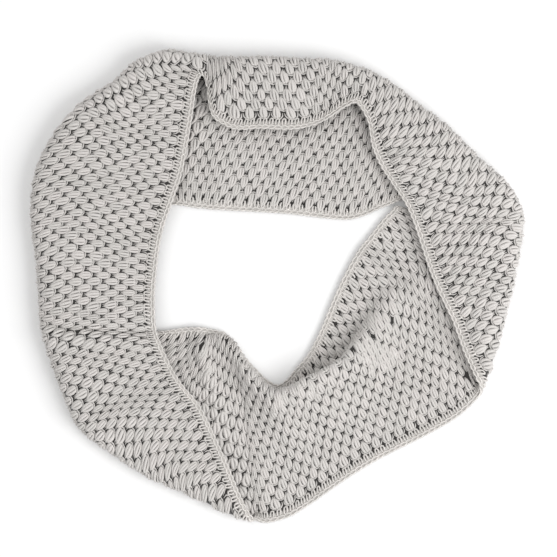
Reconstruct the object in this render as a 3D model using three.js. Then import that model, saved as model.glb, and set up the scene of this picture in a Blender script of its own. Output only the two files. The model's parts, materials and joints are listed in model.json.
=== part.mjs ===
// Infinity scarf: a wide crocheted band joined end to end, folded along its length
// and laid as a ring on a flat surface. One stretch of the ring lies open in a single layer.
// Millimetres, +Z up, the surface at z = 0.
import * as THREE from "three";

// The band, measured as if laid out flat
const WALL = 6; // thick crochet
const EDGING_WIDTH = 8; // single crochet and chain along each rim
const SEAM_GAP = 0.3; // between the band and its edgings
const FLOOR_MID = WALL / 2; // height of the middle of a layer that lies on the surface

// Fineness of the faceted solids
const STATIONS = 136; // sections round the ring
const BAND_STEPS = 18; // steps across the band in a section
const EDGING_STEPS = 2; // steps across an edging
const PATH_STEPS = 40; // fine steps along each stretch of a section's path
const PATH_SPACING = 1; // mm between the points of a finished path
const SOFTNESS = 4; // mm over which a corner of a path is rounded
const BEND_WEIGHT = 9; // mm of extra weight for each radian that the path turns
const TURN_WEIGHT = 0.12; // mm of extra distance round the ring for each degree of change in turn
const PROBE = 1.5; // mm to either side of a place, to find which way the cloth faces there

// Shape of the ridge where the open layer has slid up against itself
const RIDGE_LEAN = 6; // mm by which a high crest hangs over its foot
const RIDGE_BACK = 12; // mm by which a low crest stands back from its foot
const RIDGE_LOW = 14; // mm of height up to which a crest counts as low
const RIDGE_HIGH = 24; // mm of height from which a crest counts as high
const RIDGE_CLEAR = 10; // nearer to the lower rim than this, in mm, the ridge stands upright
const RIDGE_TOP = 11; // mm across the crest
const RIDGE_TAIL = 12; // mm of slope beyond the crest of a very low ridge
const RIDGE_SLOPE = 1.5; // mm of slope more for each mm of height
const RIDGE_REACH = 1.05; // height before its corners are rounded over finished height
const RIDGE_SHOULDER = 0.35; // share of the height that is left halfway down the slope
const RIDGE_ROOM = 0.9; // most of the layer's reach that the ridge may take

// Sections round the ring, clockwise from above, starting at the crease of the left arm.
// x runs right and y up from the middle of the hole. Upper rim: x, y, z. Fold: x, y, radius,
// turn in degrees (180 folded over, 0 lying open). Knee: where the layer on the surface
// changes direction, at the foot of the ridge. Lower rim: x, y. Ridge: its height.
// Crown: how much the upper layer bulges.
const COLUMNS = [
  "rimX", "rimY", "rimZ", "foldX", "foldY", "radius", "turn",
  "kneeX", "kneeY", "lowX", "lowY", "ridge", "crown",
];
const SECTIONS = [
  // left arm, from the crease upward
  [-120, -45, 21, -237, -43, 11, 180, -160, -40, -130, -36, 0, 4],
  [-122, -18, 17, -239, -18, 11, 180, -165, -16, -132, -13, 0, 3],
  [-120, 17, 15, -242, 25, 11, 180, -165, 20, -131, 17, 0, 3],
  [-114, 55, 15, -247, 72, 11, 180, -163, 56, -125, 47, 0, 3],
  [-104, 85, 15, -243, 112, 11, 180, -158, 84, -119, 69, 0, 3],
  [-95, 112, 15, -227, 148, 11, 180, -148, 104, -113, 77, 0, 3],
  [-89, 142, 16, -199, 182, 10.5, 180, -135, 118, -107, 81, 0, 3],
  [-84, 172, 18, -167, 204, 10.5, 180, -119, 125, -100, 81, 0, 2],
  [-80, 197, 20, -136, 229, 10.5, 180, -102, 128, -92, 80, 0, 1],
  [-77, 207, 21, -110, 237.5, 10.5, 180, -90, 128, -86, 79, 0, 0],
  // notch at the upper left corner
  [-73.5, 211, 21, -88, 235, 10, 180, -81, 128, -80, 78, 0, 0],
  [-70, 206, 21, -73, 232, 10, 180, -75, 128, -75, 78, 0, 0],
  // top
  [-69.5, 190, 20, -61, 231, 10, 180, -68, 127, -69, 77, 0, 0],
  [-65, 170, 18, -49, 230.5, 10, 180, -59, 127, -61, 76.5, 0, 1],
  [-49, 158.5, 17, -35, 230.5, 10, 180, -45, 126, -47, 75.5, 0, 2],
  [-15, 157, 16, -7, 230.5, 10, 180, -14, 125, -15, 74, 0, 2],
  [23, 157, 17, 26, 228.5, 10, 180, 24, 122, 23, 71, 0, 2],
  [48, 165, 19, 53, 227.5, 10, 180, 53, 119, 53, 67.5, 0, 1],
  [68, 178, 22, 75, 222.5, 10, 180, 76, 118, 75, 67, 0, 0],
  [78, 182, 23, 91, 217.5, 10, 180, 90, 120, 89, 71, 0, 0],
  // right arm
  [83, 177, 22, 103, 211.5, 10, 180, 102, 124, 100, 76, 0, 0],
  [90, 164, 20, 119, 201.5, 10, 180, 115, 128, 111, 80.5, 0, 1],
  [94, 142, 17, 143, 182.5, 10, 180, 134, 126, 124, 86, 0, 2],
  [102, 122, 15, 173, 159.5, 10, 180, 159, 120, 143, 93, 0, 3],
  [114, 103, 15, 204, 128.5, 10, 180, 181, 108, 163, 94, 0, 3],
  [129, 80, 15, 232, 102.5, 10.5, 180, 201, 92, 175, 86, 0, 3],
  [139, 55, 15, 247, 72, 11, 180, 208, 74, 175, 75, 0, 3],
  [147, 30, 15, 245, 42, 11, 180, 203, 60, 159, 70, 0, 3],
  [153, 13, 15, 241, 18, 10.5, 180, 190, 56, 139, 74, 0, 3],
  [161, -6, 15, 237, -2, 10, 180, 178, 52, 122, 80.5, 0, 2],
  [175, -35, 15, 230, -31, 9, 180, 169, 43, 114, 75, 0, 1],
  [186, -65, 14, 222, -63, 8, 180, 160, 33, 105, 66, 1, 0],
  [195, -84, 13, 216, -85, 7, 180, 149, 25, 97, 56, 2, 0],
  [201, -97, 12.5, 211, -98, 6, 165, 139, 19, 90, 47, 3, 0],
  // bottom, lying open
  [206, -106, 7, 207, -107, 6, 70, 129, 12, 84, 40, 4, 0],
  [200, -114, 3, 200, -114, 6, 0, 119, 6, 78, 31, 6, 0],
  [184, -129, 3, 184, -129, 6, 0, 100, -10, 66, 9, 10, 0],
  [167, -140, 3, 167, -140, 6, 0, 88, -30, 56, -13, 14, 0],
  [147, -151, 3, 147, -151, 6, 0, 79, -51, 48, -33, 19, 0],
  [123, -163, 3, 123, -163, 6, 0, 66, -76, 39, -53, 23, 0],
  [96, -177, 3, 96, -177, 6, 0, 44, -91, 28, -72, 25, 0],
  [75, -190, 3, 75, -190, 6, 0, 27, -98, 18, -83, 25, 0],
  [53, -205, 3, 53, -205, 6, 0, 12, -103, 10, -93, 24, 0],
  [33, -219, 3, 33, -219, 6, 0, -1, -105, 1, -99, 23, 0],
  [13, -231, 3, 13, -231, 6, 0, -13, -99, -10, -94, 20, 0],
  [-7, -237, 3, -7, -237, 7, 0, -25, -86, -22, -83, 17, 0],
  // lower left, folded over again
  [-19, -236, 6, -19, -239, 7, 60, -35, -74, -33, -73, 14, 0],
  [-28, -226, 14, -32, -236, 7, 150, -41, -60, -39, -67, 14, 0],
  [-36, -209, 18, -52, -229, 8, 180, -47, -54, -45, -59, 12, 0],
  [-46, -185, 18, -88, -211, 9, 180, -56, -50, -56, -47, 9, 1],
  [-60, -153, 18, -128, -193, 10, 180, -73, -53, -71, -42, 5, 2],
  [-77, -119, 18, -168, -167, 10.5, 180, -92, -57, -88, -41, 2, 3],
  [-95, -97, 17, -200, -141, 11, 180, -112, -60, -103, -43, 0, 3],
  [-106, -79, 16, -218, -101, 11, 180, -130, -56, -115, -45, 0, 3],
  [-116, -57, 14, -229, -71, 10.5, 180, -145, -51, -124, -44, 0, 2],
].map((row) => Object.fromEntries(COLUMNS.map((name, i) => [name, row[i]])));

const rad = THREE.MathUtils.degToRad;
const point = (x, y, z) => new THREE.Vector3(x, y, z);

// Distance round the ring at which each section of the table stands, averaged over its three lines.
function sectionPlaces() {
  const places = [0];
  SECTIONS.forEach((row, i) => {
    const next = SECTIONS[(i + 1) % SECTIONS.length];
    const rim = Math.hypot(next.rimX - row.rimX, next.rimY - row.rimY);
    const fold = Math.hypot(next.foldX - row.foldX, next.foldY - row.foldY);
    const knee = Math.hypot(next.kneeX - row.kneeX, next.kneeY - row.kneeY);
    const turned = Math.abs(next.turn - row.turn) * TURN_WEIGHT;
    places.push(places[i] + (rim + fold + knee) / 3 + turned);
  });
  return places;
}

const PLACES = sectionPlaces();
const ROUND = PLACES[SECTIONS.length];

// One column of the table at any place round the ring, on a smooth closed curve.
function columnAt(name, place) {
  const count = SECTIONS.length;
  const value = (k) => SECTIONS[(k + count) % count][name];
  const where = (k) => PLACES[(k + count) % count] + Math.floor(k / count) * ROUND;
  let i = PLACES.findIndex((p) => p > place) - 1;
  if (i < 0) i = count - 1;
  const span = where(i + 1) - where(i);
  const slope = (k) => {
    const before = (value(k) - value(k - 1)) / (where(k) - where(k - 1));
    const after = (value(k + 1) - value(k)) / (where(k + 1) - where(k));
    const share = (where(k) - where(k - 1)) / (where(k + 1) - where(k - 1));
    return before * (1 - share) + after * share;
  };
  const t = (place - where(i)) / span;
  const a = value(i) * (1 + 2 * t) * (1 - t) ** 2 + value(i + 1) * t * t * (3 - 2 * t);
  const b = slope(i) * span * t * (1 - t) ** 2 - slope(i + 1) * span * t * t * (1 - t);
  return a + b;
}

// All columns at a place round the ring, with the direction that faces out across the fold.
function sectionAt(place) {
  const section = {};
  for (const name of COLUMNS) section[name] = columnAt(name, place);
  section.turn = Math.min(Math.max(section.turn, 0), 180);
  section.ridge = Math.max(section.ridge, 0);
  section.rimZ = Math.max(section.rimZ, FLOOR_MID);
  const ahead = (place + PROBE) % ROUND;
  const back = (place - PROBE + ROUND) % ROUND;
  const alongX = columnAt("foldX", ahead) - columnAt("foldX", back);
  const alongY = columnAt("foldY", ahead) - columnAt("foldY", back);
  section.out = point(-alongY, alongX, 0).normalize();
  return section;
}

// The fold: an arc from the layer on the surface up to the layer above.
function foldArc(section, centre) {
  const points = [];
  for (let s = 0; s <= PATH_STEPS; s += 1) {
    const angle = rad(-90 + (section.turn * s) / PATH_STEPS);
    const p = centre.clone().addScaledVector(section.out, section.radius * Math.cos(angle));
    p.z = FLOOR_MID + section.radius * (1 + Math.sin(angle));
    points.push(p);
  }
  return points;
}

// The layer above, from the fold to the upper rim, with its crown.
function upperLayer(section, start) {
  const end = point(section.rimX, section.rimY, section.rimZ);
  const third = 1 / 3;
  const reach = start.distanceTo(end) * third;
  const angle = rad(-90 + section.turn);
  const heading = point(0, 0, Math.cos(angle)).addScaledVector(section.out, -Math.sin(angle));
  const near = start.clone().addScaledVector(heading, reach);
  near.z += section.crown;
  const far = end.clone().lerp(start, third);
  far.z = end.z + section.crown;
  const curve = new THREE.CubicBezierCurve3(start, near, far, end);
  return curve.getPoints(PATH_STEPS);
}

// The layer on the surface, from the lower rim over the ridge at its knee to the fold.
function lowerLayer(section, centre) {
  const rim = point(section.lowX, section.lowY, FLOOR_MID);
  const knee = point(section.kneeX, section.kneeY, FLOOR_MID);
  const length = knee.distanceTo(centre);
  const onward = centre.clone().sub(knee).normalize();
  const at = (distance, height) => {
    const p = knee.clone().addScaledVector(onward, distance);
    p.z = FLOOR_MID + height;
    return p;
  };
  const height = section.ridge * RIDGE_REACH;
  const clear = THREE.MathUtils.clamp(rim.distanceTo(knee) / RIDGE_CLEAR - 1, 0, 1);
  const steep = THREE.MathUtils.clamp((section.ridge - RIDGE_LOW) / (RIDGE_HIGH - RIDGE_LOW), 0, 1);
  const lean = clear * (RIDGE_LEAN * steep - RIDGE_BACK * (1 - steep));
  const crestEnd = RIDGE_TOP - Math.min(lean, 0);
  const slope = RIDGE_TAIL + section.ridge * RIDGE_SLOPE;
  const toe = Math.min(crestEnd + slope, length * RIDGE_ROOM);
  return [
    rim,
    knee,
    at(-lean, height),
    at(RIDGE_TOP - lean, height),
    at((crestEnd + toe) / 2, height * RIDGE_SHOULDER),
    at(toe, 0),
    centre,
  ];
}

// Length along a path up to each of its points.
function lengthsAlong(path) {
  const lengths = [0];
  for (let i = 1; i < path.length; i += 1) lengths.push(lengths[i - 1] + path[i].distanceTo(path[i - 1]));
  return lengths;
}

function pointAt(path, lengths, target) {
  let i = lengths.findIndex((length) => length >= target);
  if (i < 0) i = lengths.length - 1;
  if (i === 0) i = 1;
  const t = (target - lengths[i - 1]) / (lengths[i] - lengths[i - 1]);
  return path[i - 1].clone().lerp(path[i], t);
}

// The same path with even steps and its corners rounded, its two ends left in place.
function softened(path) {
  const lengths = lengthsAlong(path);
  const width = lengths[lengths.length - 1];
  const steps = Math.round(width / PATH_SPACING);
  const even = [];
  for (let i = 0; i <= steps; i += 1) even.push(pointAt(path, lengths, (width * i) / steps));
  const reach = Math.ceil((3 * SOFTNESS) / PATH_SPACING);
  const mirrored = (i) => {
    if (i < 0) return even[0].clone().multiplyScalar(2).sub(even[-i]);
    if (i > steps) return even[steps].clone().multiplyScalar(2).sub(even[2 * steps - i]);
    return even[i];
  };
  return even.map((_, i) => {
    const p = point(0, 0, 0);
    let total = 0;
    for (let k = -reach; k <= reach; k += 1) {
      const weight = Math.exp(-0.5 * ((k * PATH_SPACING) / SOFTNESS) ** 2);
      p.addScaledVector(mirrored(i + k), weight);
      total += weight;
    }
    return p.divideScalar(total);
  });
}

// The whole path of a section, from the upper rim over the fold to the lower rim.
function sectionPath(section) {
  const inset = section.radius * Math.sin(rad(Math.min(section.turn, 90)));
  const shell = (WALL / 2) * Math.sin(rad(Math.min(section.turn, 90)));
  const centre = point(section.foldX, section.foldY, FLOOR_MID);
  centre.addScaledVector(section.out, -(inset + shell));
  const arc = foldArc(section, centre);
  const upper = upperLayer(section, arc[arc.length - 1]).reverse();
  const lower = lowerLayer(section, centre).reverse();
  const path = [];
  for (const p of [...upper, ...arc.reverse(), ...lower]) {
    if (!path.length || path[path.length - 1].distanceTo(p) > 0.01) path.push(p);
  }
  return softened(path);
}

// Length along a path, with bends counted as extra length, so that steps gather where the cloth turns.
function weightsAlong(path) {
  const weights = [0];
  const before = new THREE.Vector3();
  const after = new THREE.Vector3();
  for (let i = 1; i < path.length; i += 1) {
    let bend = 0;
    if (i + 1 < path.length) {
      before.subVectors(path[i], path[i - 1]);
      after.subVectors(path[i + 1], path[i]);
      bend = before.angleTo(after);
    }
    weights.push(weights[i - 1] + path[i].distanceTo(path[i - 1]) + bend * BEND_WEIGHT);
  }
  return weights;
}

// A value of one rising list where another rising list reaches a target.
function readAt(keys, values, target) {
  let i = keys.findIndex((key) => key >= target);
  if (i < 0) i = keys.length - 1;
  if (i === 0) return values[0];
  const t = (target - keys[i - 1]) / (keys[i] - keys[i - 1]);
  return values[i - 1] + (values[i] - values[i - 1]) * t;
}

// Places across a section, in mm from the upper rim: the upper edging, the band, the lower edging.
function stepsAcross(path) {
  const lengths = lengthsAlong(path);
  const weights = weightsAlong(path);
  const width = lengths[lengths.length - 1];
  const spread = (from, to, steps) => {
    const first = readAt(lengths, weights, from);
    const last = readAt(lengths, weights, to);
    const places = [];
    for (let i = 0; i <= steps; i += 1) {
      places.push(readAt(weights, lengths, first + ((last - first) * i) / steps));
    }
    return places;
  };
  const seam = EDGING_WIDTH + SEAM_GAP;
  return {
    upper: spread(0, EDGING_WIDTH, EDGING_STEPS),
    band: spread(seam, width - seam, BAND_STEPS),
    lower: spread(width - EDGING_WIDTH, width, EDGING_STEPS),
  };
}

// Middle points of one piece of the cloth in the section at a place round the ring.
function middlesAt(place, piece) {
  const path = sectionPath(sectionAt((place + ROUND) % ROUND));
  const lengths = lengthsAlong(path);
  return stepsAcross(path)[piece].map((distance) => {
    const back = pointAt(path, lengths, Math.max(distance - PROBE, 0));
    const ahead = pointAt(path, lengths, Math.min(distance + PROBE, lengths[lengths.length - 1]));
    return { middle: pointAt(path, lengths, distance), across: ahead.sub(back) };
  });
}

// Middle points and facings of a piece, one row for each section round the ring.
function clothGrid(piece) {
  const rows = [];
  for (let i = 0; i < STATIONS; i += 1) {
    const place = (ROUND * i) / STATIONS;
    const row = middlesAt(place, piece);
    const back = middlesAt(place - PROBE, piece);
    const ahead = middlesAt(place + PROBE, piece);
    row.forEach((cell, j) => {
      const along = ahead[j].middle.clone().sub(back[j].middle);
      cell.facing = along.cross(cell.across).negate().normalize();
    });
    rows.push(row);
  }
  return rows;
}

// A closed ring of wall round a grid: outer face, inner face and the two long edges.
function wallGeometry(rows) {
  const across = rows[0].length;
  const loop = 2 * across;
  const corners = [];
  for (const row of rows) {
    for (const side of [1, -1]) {
      for (const { middle, facing } of row) {
        const p = middle.clone().addScaledVector(facing, (side * WALL) / 2);
        p.z = Math.max(p.z, 0);
        corners.push(p);
      }
    }
  }
  const corner = (i, k) => (i % rows.length) * loop + (k < across ? k : loop + across - 1 - k);
  const indices = [];
  for (let i = 0; i < rows.length; i += 1) {
    for (let k = 0; k < loop; k += 1) {
      const m = (k + 1) % loop;
      const a = corner(i, k);
      const b = corner(i, m);
      const c = corner(i + 1, k);
      const d = corner(i + 1, m);
      // Each face is split along its shorter diagonal, but the long edges are split alike,
      // so that two pieces stay apart where a seam between them twists.
      const shorter = corners[a].distanceTo(corners[d]) < corners[b].distanceTo(corners[c]);
      const isSeam = m === across || m === 0;
      const fromFirst = isSeam ? m === 0 : shorter;
      if (fromFirst) indices.push(a, b, d, a, d, c);
      else indices.push(a, b, c, b, d, c);
    }
  }
  const geometry = new THREE.BufferGeometry().setFromPoints(corners);
  geometry.setIndex(indices);
  geometry.computeVertexNormals();
  return geometry;
}

// Warm light grey wool
const WOOL = new THREE.MeshStandardMaterial({ color: 0xcbc6c1, roughness: 0.95, metalness: 0 });

function clothPiece(name, piece) {
  const mesh = new THREE.Mesh(wallGeometry(clothGrid(piece)), WOOL.clone());
  mesh.name = name;
  return mesh;
}

// The ring, moved so that the middle of its footprint is the origin
function infinityScarf() {
  const scarf = new THREE.Group();
  scarf.add(clothPiece("band", "band"));
  scarf.add(clothPiece("upper_edging", "upper"));
  scarf.add(clothPiece("lower_edging", "lower"));
  const middle = new THREE.Box3().setFromObject(scarf).getCenter(new THREE.Vector3());
  scarf.position.set(-middle.x, -middle.y, 0);
  return scarf;
}

const scarf = infinityScarf();

export default scarf;
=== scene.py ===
"""Infinity scarf in bean stitch, laid as a ring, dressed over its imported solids.

The cloth follows the same sections as the solids. Its stitches are modelled as bundles of yarn
in a flat pattern. Geometry Nodes stand them on the points of their rows and lay them onto the
folded cloth.
"""

from __future__ import annotations

import json
import logging
import math
from dataclasses import dataclass, field, replace
from enum import Enum

import bpy
import numpy as np
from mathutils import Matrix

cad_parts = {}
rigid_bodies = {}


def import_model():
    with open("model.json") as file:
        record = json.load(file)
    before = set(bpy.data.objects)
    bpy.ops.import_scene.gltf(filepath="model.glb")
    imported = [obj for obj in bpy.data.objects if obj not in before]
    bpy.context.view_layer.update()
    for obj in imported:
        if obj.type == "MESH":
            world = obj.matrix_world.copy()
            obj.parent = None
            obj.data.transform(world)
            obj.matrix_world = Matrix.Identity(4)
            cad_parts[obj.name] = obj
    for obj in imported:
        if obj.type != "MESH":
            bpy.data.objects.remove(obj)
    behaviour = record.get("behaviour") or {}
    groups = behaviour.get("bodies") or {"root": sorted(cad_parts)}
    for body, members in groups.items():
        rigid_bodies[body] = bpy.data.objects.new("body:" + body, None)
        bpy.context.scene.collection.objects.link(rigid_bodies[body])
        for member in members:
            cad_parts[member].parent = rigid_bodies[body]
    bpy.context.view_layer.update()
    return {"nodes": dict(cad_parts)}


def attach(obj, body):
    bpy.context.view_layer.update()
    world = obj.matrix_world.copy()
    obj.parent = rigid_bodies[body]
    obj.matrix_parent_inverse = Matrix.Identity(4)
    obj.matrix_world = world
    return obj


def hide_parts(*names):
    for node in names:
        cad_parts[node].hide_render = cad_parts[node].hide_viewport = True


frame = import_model()

Piece = bpy.types.Object
Socket = bpy.types.NodeSocket
Material = bpy.types.Material

MM = 0.001  # metres in a millimetre
TINY = 1e-9  # keeps a division by zero away
END_SPAN = 3  # steps over which the direction of a path's end is taken
LOG = logging.getLogger("scarf")

# Sections round the ring in millimetres, clockwise from above, from the crease of the left arm.
# Upper rim: x, y, z. Fold: x, y, radius, turn in degrees. Knee: x, y, the foot of the ridge.
# Lower rim: x, y. Ridge: its height. Crown: how much the upper layer bulges.
COLUMNS = (
    "rim_x", "rim_y", "rim_z", "fold_x", "fold_y", "radius", "turn",
    "knee_x", "knee_y", "low_x", "low_y", "ridge", "crown",
)
SECTIONS = (
    # left arm
    (-120, -45, 21, -237, -43, 11, 180, -160, -40, -130, -36, 0, 4),
    (-122, -18, 17, -239, -18, 11, 180, -165, -16, -132, -13, 0, 3),
    (-120, 17, 15, -242, 25, 11, 180, -165, 20, -131, 17, 0, 3),
    (-114, 55, 15, -247, 72, 11, 180, -163, 56, -125, 47, 0, 3),
    (-104, 85, 15, -243, 112, 11, 180, -158, 84, -119, 69, 0, 3),
    (-95, 112, 15, -227, 148, 11, 180, -148, 104, -113, 77, 0, 3),
    (-89, 142, 16, -199, 182, 10.5, 180, -135, 118, -107, 81, 0, 3),
    (-84, 172, 18, -167, 204, 10.5, 180, -119, 125, -100, 81, 0, 2),
    (-80, 197, 20, -136, 229, 10.5, 180, -102, 128, -92, 80, 0, 1),
    (-77, 207, 21, -110, 237.5, 10.5, 180, -90, 128, -86, 79, 0, 0),
    # notch at the upper left corner
    (-73.5, 211, 21, -88, 235, 10, 180, -81, 128, -80, 78, 0, 0),
    (-70, 206, 21, -73, 232, 10, 180, -75, 128, -75, 78, 0, 0),
    # top
    (-69.5, 190, 20, -61, 231, 10, 180, -68, 127, -69, 77, 0, 0),
    (-65, 170, 18, -49, 230.5, 10, 180, -59, 127, -61, 76.5, 0, 1),
    (-49, 158.5, 17, -35, 230.5, 10, 180, -45, 126, -47, 75.5, 0, 2),
    (-15, 157, 16, -7, 230.5, 10, 180, -14, 125, -15, 74, 0, 2),
    (23, 157, 17, 26, 228.5, 10, 180, 24, 122, 23, 71, 0, 2),
    (48, 165, 19, 53, 227.5, 10, 180, 53, 119, 53, 67.5, 0, 1),
    (68, 178, 22, 75, 222.5, 10, 180, 76, 118, 75, 67, 0, 0),
    (78, 182, 23, 91, 217.5, 10, 180, 90, 120, 89, 71, 0, 0),
    # right arm
    (83, 177, 22, 103, 211.5, 10, 180, 102, 124, 100, 76, 0, 0),
    (90, 164, 20, 119, 201.5, 10, 180, 115, 128, 111, 80.5, 0, 1),
    (94, 142, 17, 143, 182.5, 10, 180, 134, 126, 124, 86, 0, 2),
    (102, 122, 15, 173, 159.5, 10, 180, 159, 120, 143, 93, 0, 3),
    (114, 103, 15, 204, 128.5, 10, 180, 181, 108, 163, 94, 0, 3),
    (129, 80, 15, 232, 102.5, 10.5, 180, 201, 92, 175, 86, 0, 3),
    (139, 55, 15, 247, 72, 11, 180, 208, 74, 175, 75, 0, 3),
    (147, 30, 15, 245, 42, 11, 180, 203, 60, 159, 70, 0, 3),
    (153, 13, 15, 241, 18, 10.5, 180, 190, 56, 139, 74, 0, 3),
    (161, -6, 15, 237, -2, 10, 180, 178, 52, 122, 80.5, 0, 2),
    (175, -35, 15, 230, -31, 9, 180, 169, 43, 114, 75, 0, 1),
    (186, -65, 14, 222, -63, 8, 180, 160, 33, 105, 66, 1, 0),
    (195, -84, 13, 216, -85, 7, 180, 149, 25, 97, 56, 2, 0),
    (201, -97, 12.5, 211, -98, 6, 165, 139, 19, 90, 47, 3, 0),
    # bottom, lying open
    (206, -106, 7, 207, -107, 6, 70, 129, 12, 84, 40, 4, 0),
    (200, -114, 3, 200, -114, 6, 0, 119, 6, 78, 31, 6, 0),
    (184, -129, 3, 184, -129, 6, 0, 100, -10, 66, 9, 10, 0),
    (167, -140, 3, 167, -140, 6, 0, 88, -30, 56, -13, 14, 0),
    (147, -151, 3, 147, -151, 6, 0, 79, -51, 48, -33, 19, 0),
    (123, -163, 3, 123, -163, 6, 0, 66, -76, 39, -53, 23, 0),
    (96, -177, 3, 96, -177, 6, 0, 44, -91, 28, -72, 25, 0),
    (75, -190, 3, 75, -190, 6, 0, 27, -98, 18, -83, 25, 0),
    (53, -205, 3, 53, -205, 6, 0, 12, -103, 10, -93, 24, 0),
    (33, -219, 3, 33, -219, 6, 0, -1, -105, 1, -99, 23, 0),
    (13, -231, 3, 13, -231, 6, 0, -13, -99, -10, -94, 20, 0),
    (-7, -237, 3, -7, -237, 7, 0, -25, -86, -22, -83, 17, 0),
    # lower left, folded over again
    (-19, -236, 6, -19, -239, 7, 60, -35, -74, -33, -73, 14, 0),
    (-28, -226, 14, -32, -236, 7, 150, -41, -60, -39, -67, 14, 0),
    (-36, -209, 18, -52, -229, 8, 180, -47, -54, -45, -59, 12, 0),
    (-46, -185, 18, -88, -211, 9, 180, -56, -50, -56, -47, 9, 1),
    (-60, -153, 18, -128, -193, 10, 180, -73, -53, -71, -42, 5, 2),
    (-77, -119, 18, -168, -167, 10.5, 180, -92, -57, -88, -41, 2, 3),
    (-95, -97, 17, -200, -141, 11, 180, -112, -60, -103, -43, 0, 3),
    (-106, -79, 16, -218, -101, 11, 180, -130, -56, -115, -45, 0, 3),
    (-116, -57, 14, -229, -71, 10.5, 180, -145, -51, -124, -44, 0, 2),
)
CORNER_SECTION = 34  # where the right arm's fold has rolled open


@dataclass(frozen=True)
class Crease:
    """A soft trough, or a ridge where its depth is below zero, along a line on the upper side."""

    line: tuple[tuple[float, float], ...]
    depth: float
    width: float
    above: float = 9.0
    below: float = 99.0
    above_fade: float = 3.0
    below_fade: float = 2.0
    end_share: float = 0.04

    def lowered(self, points: np.ndarray) -> np.ndarray:
        """How far each point of the cloth sinks into the crease.

        Args:
            points: Points of the cloth in millimetres.

        Returns:
            One drop for each point.
        """
        nearest, share = self._nearest(points)
        along = np.clip(share, self.end_share, 1 - self.end_share)
        lifted = np.clip((points[:, 2] - self.above) / self.above_fade, 0, 1)
        lifted *= np.clip((self.below - points[:, 2]) / self.below_fade, 0, 1)
        across = np.exp(-((nearest / self.width) ** 2))
        return self.depth * across * np.sqrt(np.sin(np.pi * along)) * lifted

    def _nearest(self, points: np.ndarray) -> tuple[np.ndarray, np.ndarray]:
        """Where points lie beside the crease's line, seen from above.

        Args:
            points: Points of the cloth in millimetres.

        Returns:
            Each point's distance from the line, and its place along it from 0 to 1.
        """
        corners = np.array(self.line, dtype=float)
        nearest = np.full(len(points), np.inf)
        share = np.zeros(len(points))
        for k, (start, end) in enumerate(zip(corners[:-1], corners[1:])):
            step = end - start
            t = np.clip((points[:, :2] - start) @ step / (step @ step), 0, 1)
            distance = np.linalg.norm(points[:, :2] - start - t[:, None] * step, axis=1)
            closer = distance < nearest
            nearest = np.where(closer, distance, nearest)
            share = np.where(closer, (k + t) / (len(corners) - 1), share)
        return nearest, share


# Creases placed over the upper layers, on the same plan as the sections.
CREASES = (
    # across the left arm, where the lower left turns away
    Crease(((-234, -37), (-214, -42), (-170, -44), (-138, -45), (-112, -45)), depth=7.0, width=6.0),
    Crease(((-232, -52), (-214, -56), (-172, -58), (-138, -58), (-106, -58)), depth=-6.0, width=7.0),
    # upper left corner
    Crease(((-150, 204), (-138, 178), (-134, 146), (-139, 120)), depth=2.2, width=8.0),
    Crease(((-232, 130), (-206, 108), (-176, 96)), depth=1.6, width=10.0),
    # open bottom, behind the ridge
    Crease(
        ((-14, -138), (24, -121), (44, -111), (59, -103), (75, -95), (110, -68)),
        depth=3.2, width=8.0, above=3.5,
    ),
    Crease(((152, -42), (176, -70), (188, -96)), depth=1.4, width=9.0, above=3.5),
    # right arm
    Crease(((122, 190), (140, 166), (150, 140)), depth=2.0, width=7.0),
    Crease(((246, 66), (214, 60), (180, 44), (158, 30)), depth=1.5, width=9.0),
    Crease(((240, 8), (212, 4), (190, -12)), depth=1.8, width=7.0),
    # lower left
    Crease(((-190, -150), (-160, -136), (-128, -110)), depth=1.8, width=9.0),
    Crease(((-96, -204), (-78, -178), (-58, -160)), depth=1.6, width=7.0),
    # below the lower left, where the inside rises out of the shade of the flap
    Crease(
        ((-80, -40), (-73, -72), (-66, -100), (-50, -134)),
        depth=-4.5, width=6.5, above=0.0, below=17.0,
    ),
    # top
    Crease(((-30, 230), (-24, 204), (-32, 176)), depth=1.5, width=9.0),
    Crease(((52, 222), (58, 200), (54, 178)), depth=1.8, width=7.0),
)


class Rim(Enum):
    """The rim from which distances across the band are counted."""

    UPPER = "upper"
    LOWER = "lower"


class Side(Enum):
    """The side of the cloth that stitches stand on."""

    OUTSIDE = 1
    INSIDE = -1


@dataclass(frozen=True)
class Pull:
    """How the stitch pattern is stretched, slanted, pressed and bent at its fold near a section."""

    section: float
    stretch: float
    slant: float
    rows: float
    bend: float = 0.0


# Pulls of the outside, counted from the upper rim.
OUTSIDE_PULLS = (
    Pull(1.4, 1.01, -0.08, 0.98),
    Pull(2.5, 1.06, -0.12, 0.97),
    Pull(4.2, 0.90, -0.16, 1.00, 0.32),
    Pull(5.4, 0.90, -0.15, 1.05, 0.62),
    Pull(7.2, 0.90, -0.09, 1.05, 0.62),
    Pull(11.0, 0.90, 0.05, 1.00),
    Pull(14.4, 0.87, 0.16, 0.97),
    Pull(15.4, 0.90, 0.07, 1.00),
    Pull(16.6, 1.05, 0.09, 0.99),
    Pull(20.0, 1.00, 0.00, 0.99),
    Pull(22.0, 0.99, 0.03, 0.99, -0.35),
    Pull(23.4, 0.98, 0.10, 0.99, -0.50),
    Pull(24.5, 0.88, 0.24, 0.99, -0.45),
    Pull(26.9, 0.98, 0.30, 0.96, -0.20),
    Pull(29.2, 1.08, 0.19, 0.98),
    Pull(32.0, 1.00, 0.10, 1.00),
    Pull(49.2, 0.90, 0.23, 1.06, -0.30),
    Pull(50.4, 0.86, 0.19, 1.03, -0.55),
    Pull(51.4, 0.96, 0.10, 1.02, -0.50),
    Pull(53.0, 1.06, 0.07, 1.01),
    Pull(54.0, 1.10, 0.12, 0.96),
)
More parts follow.
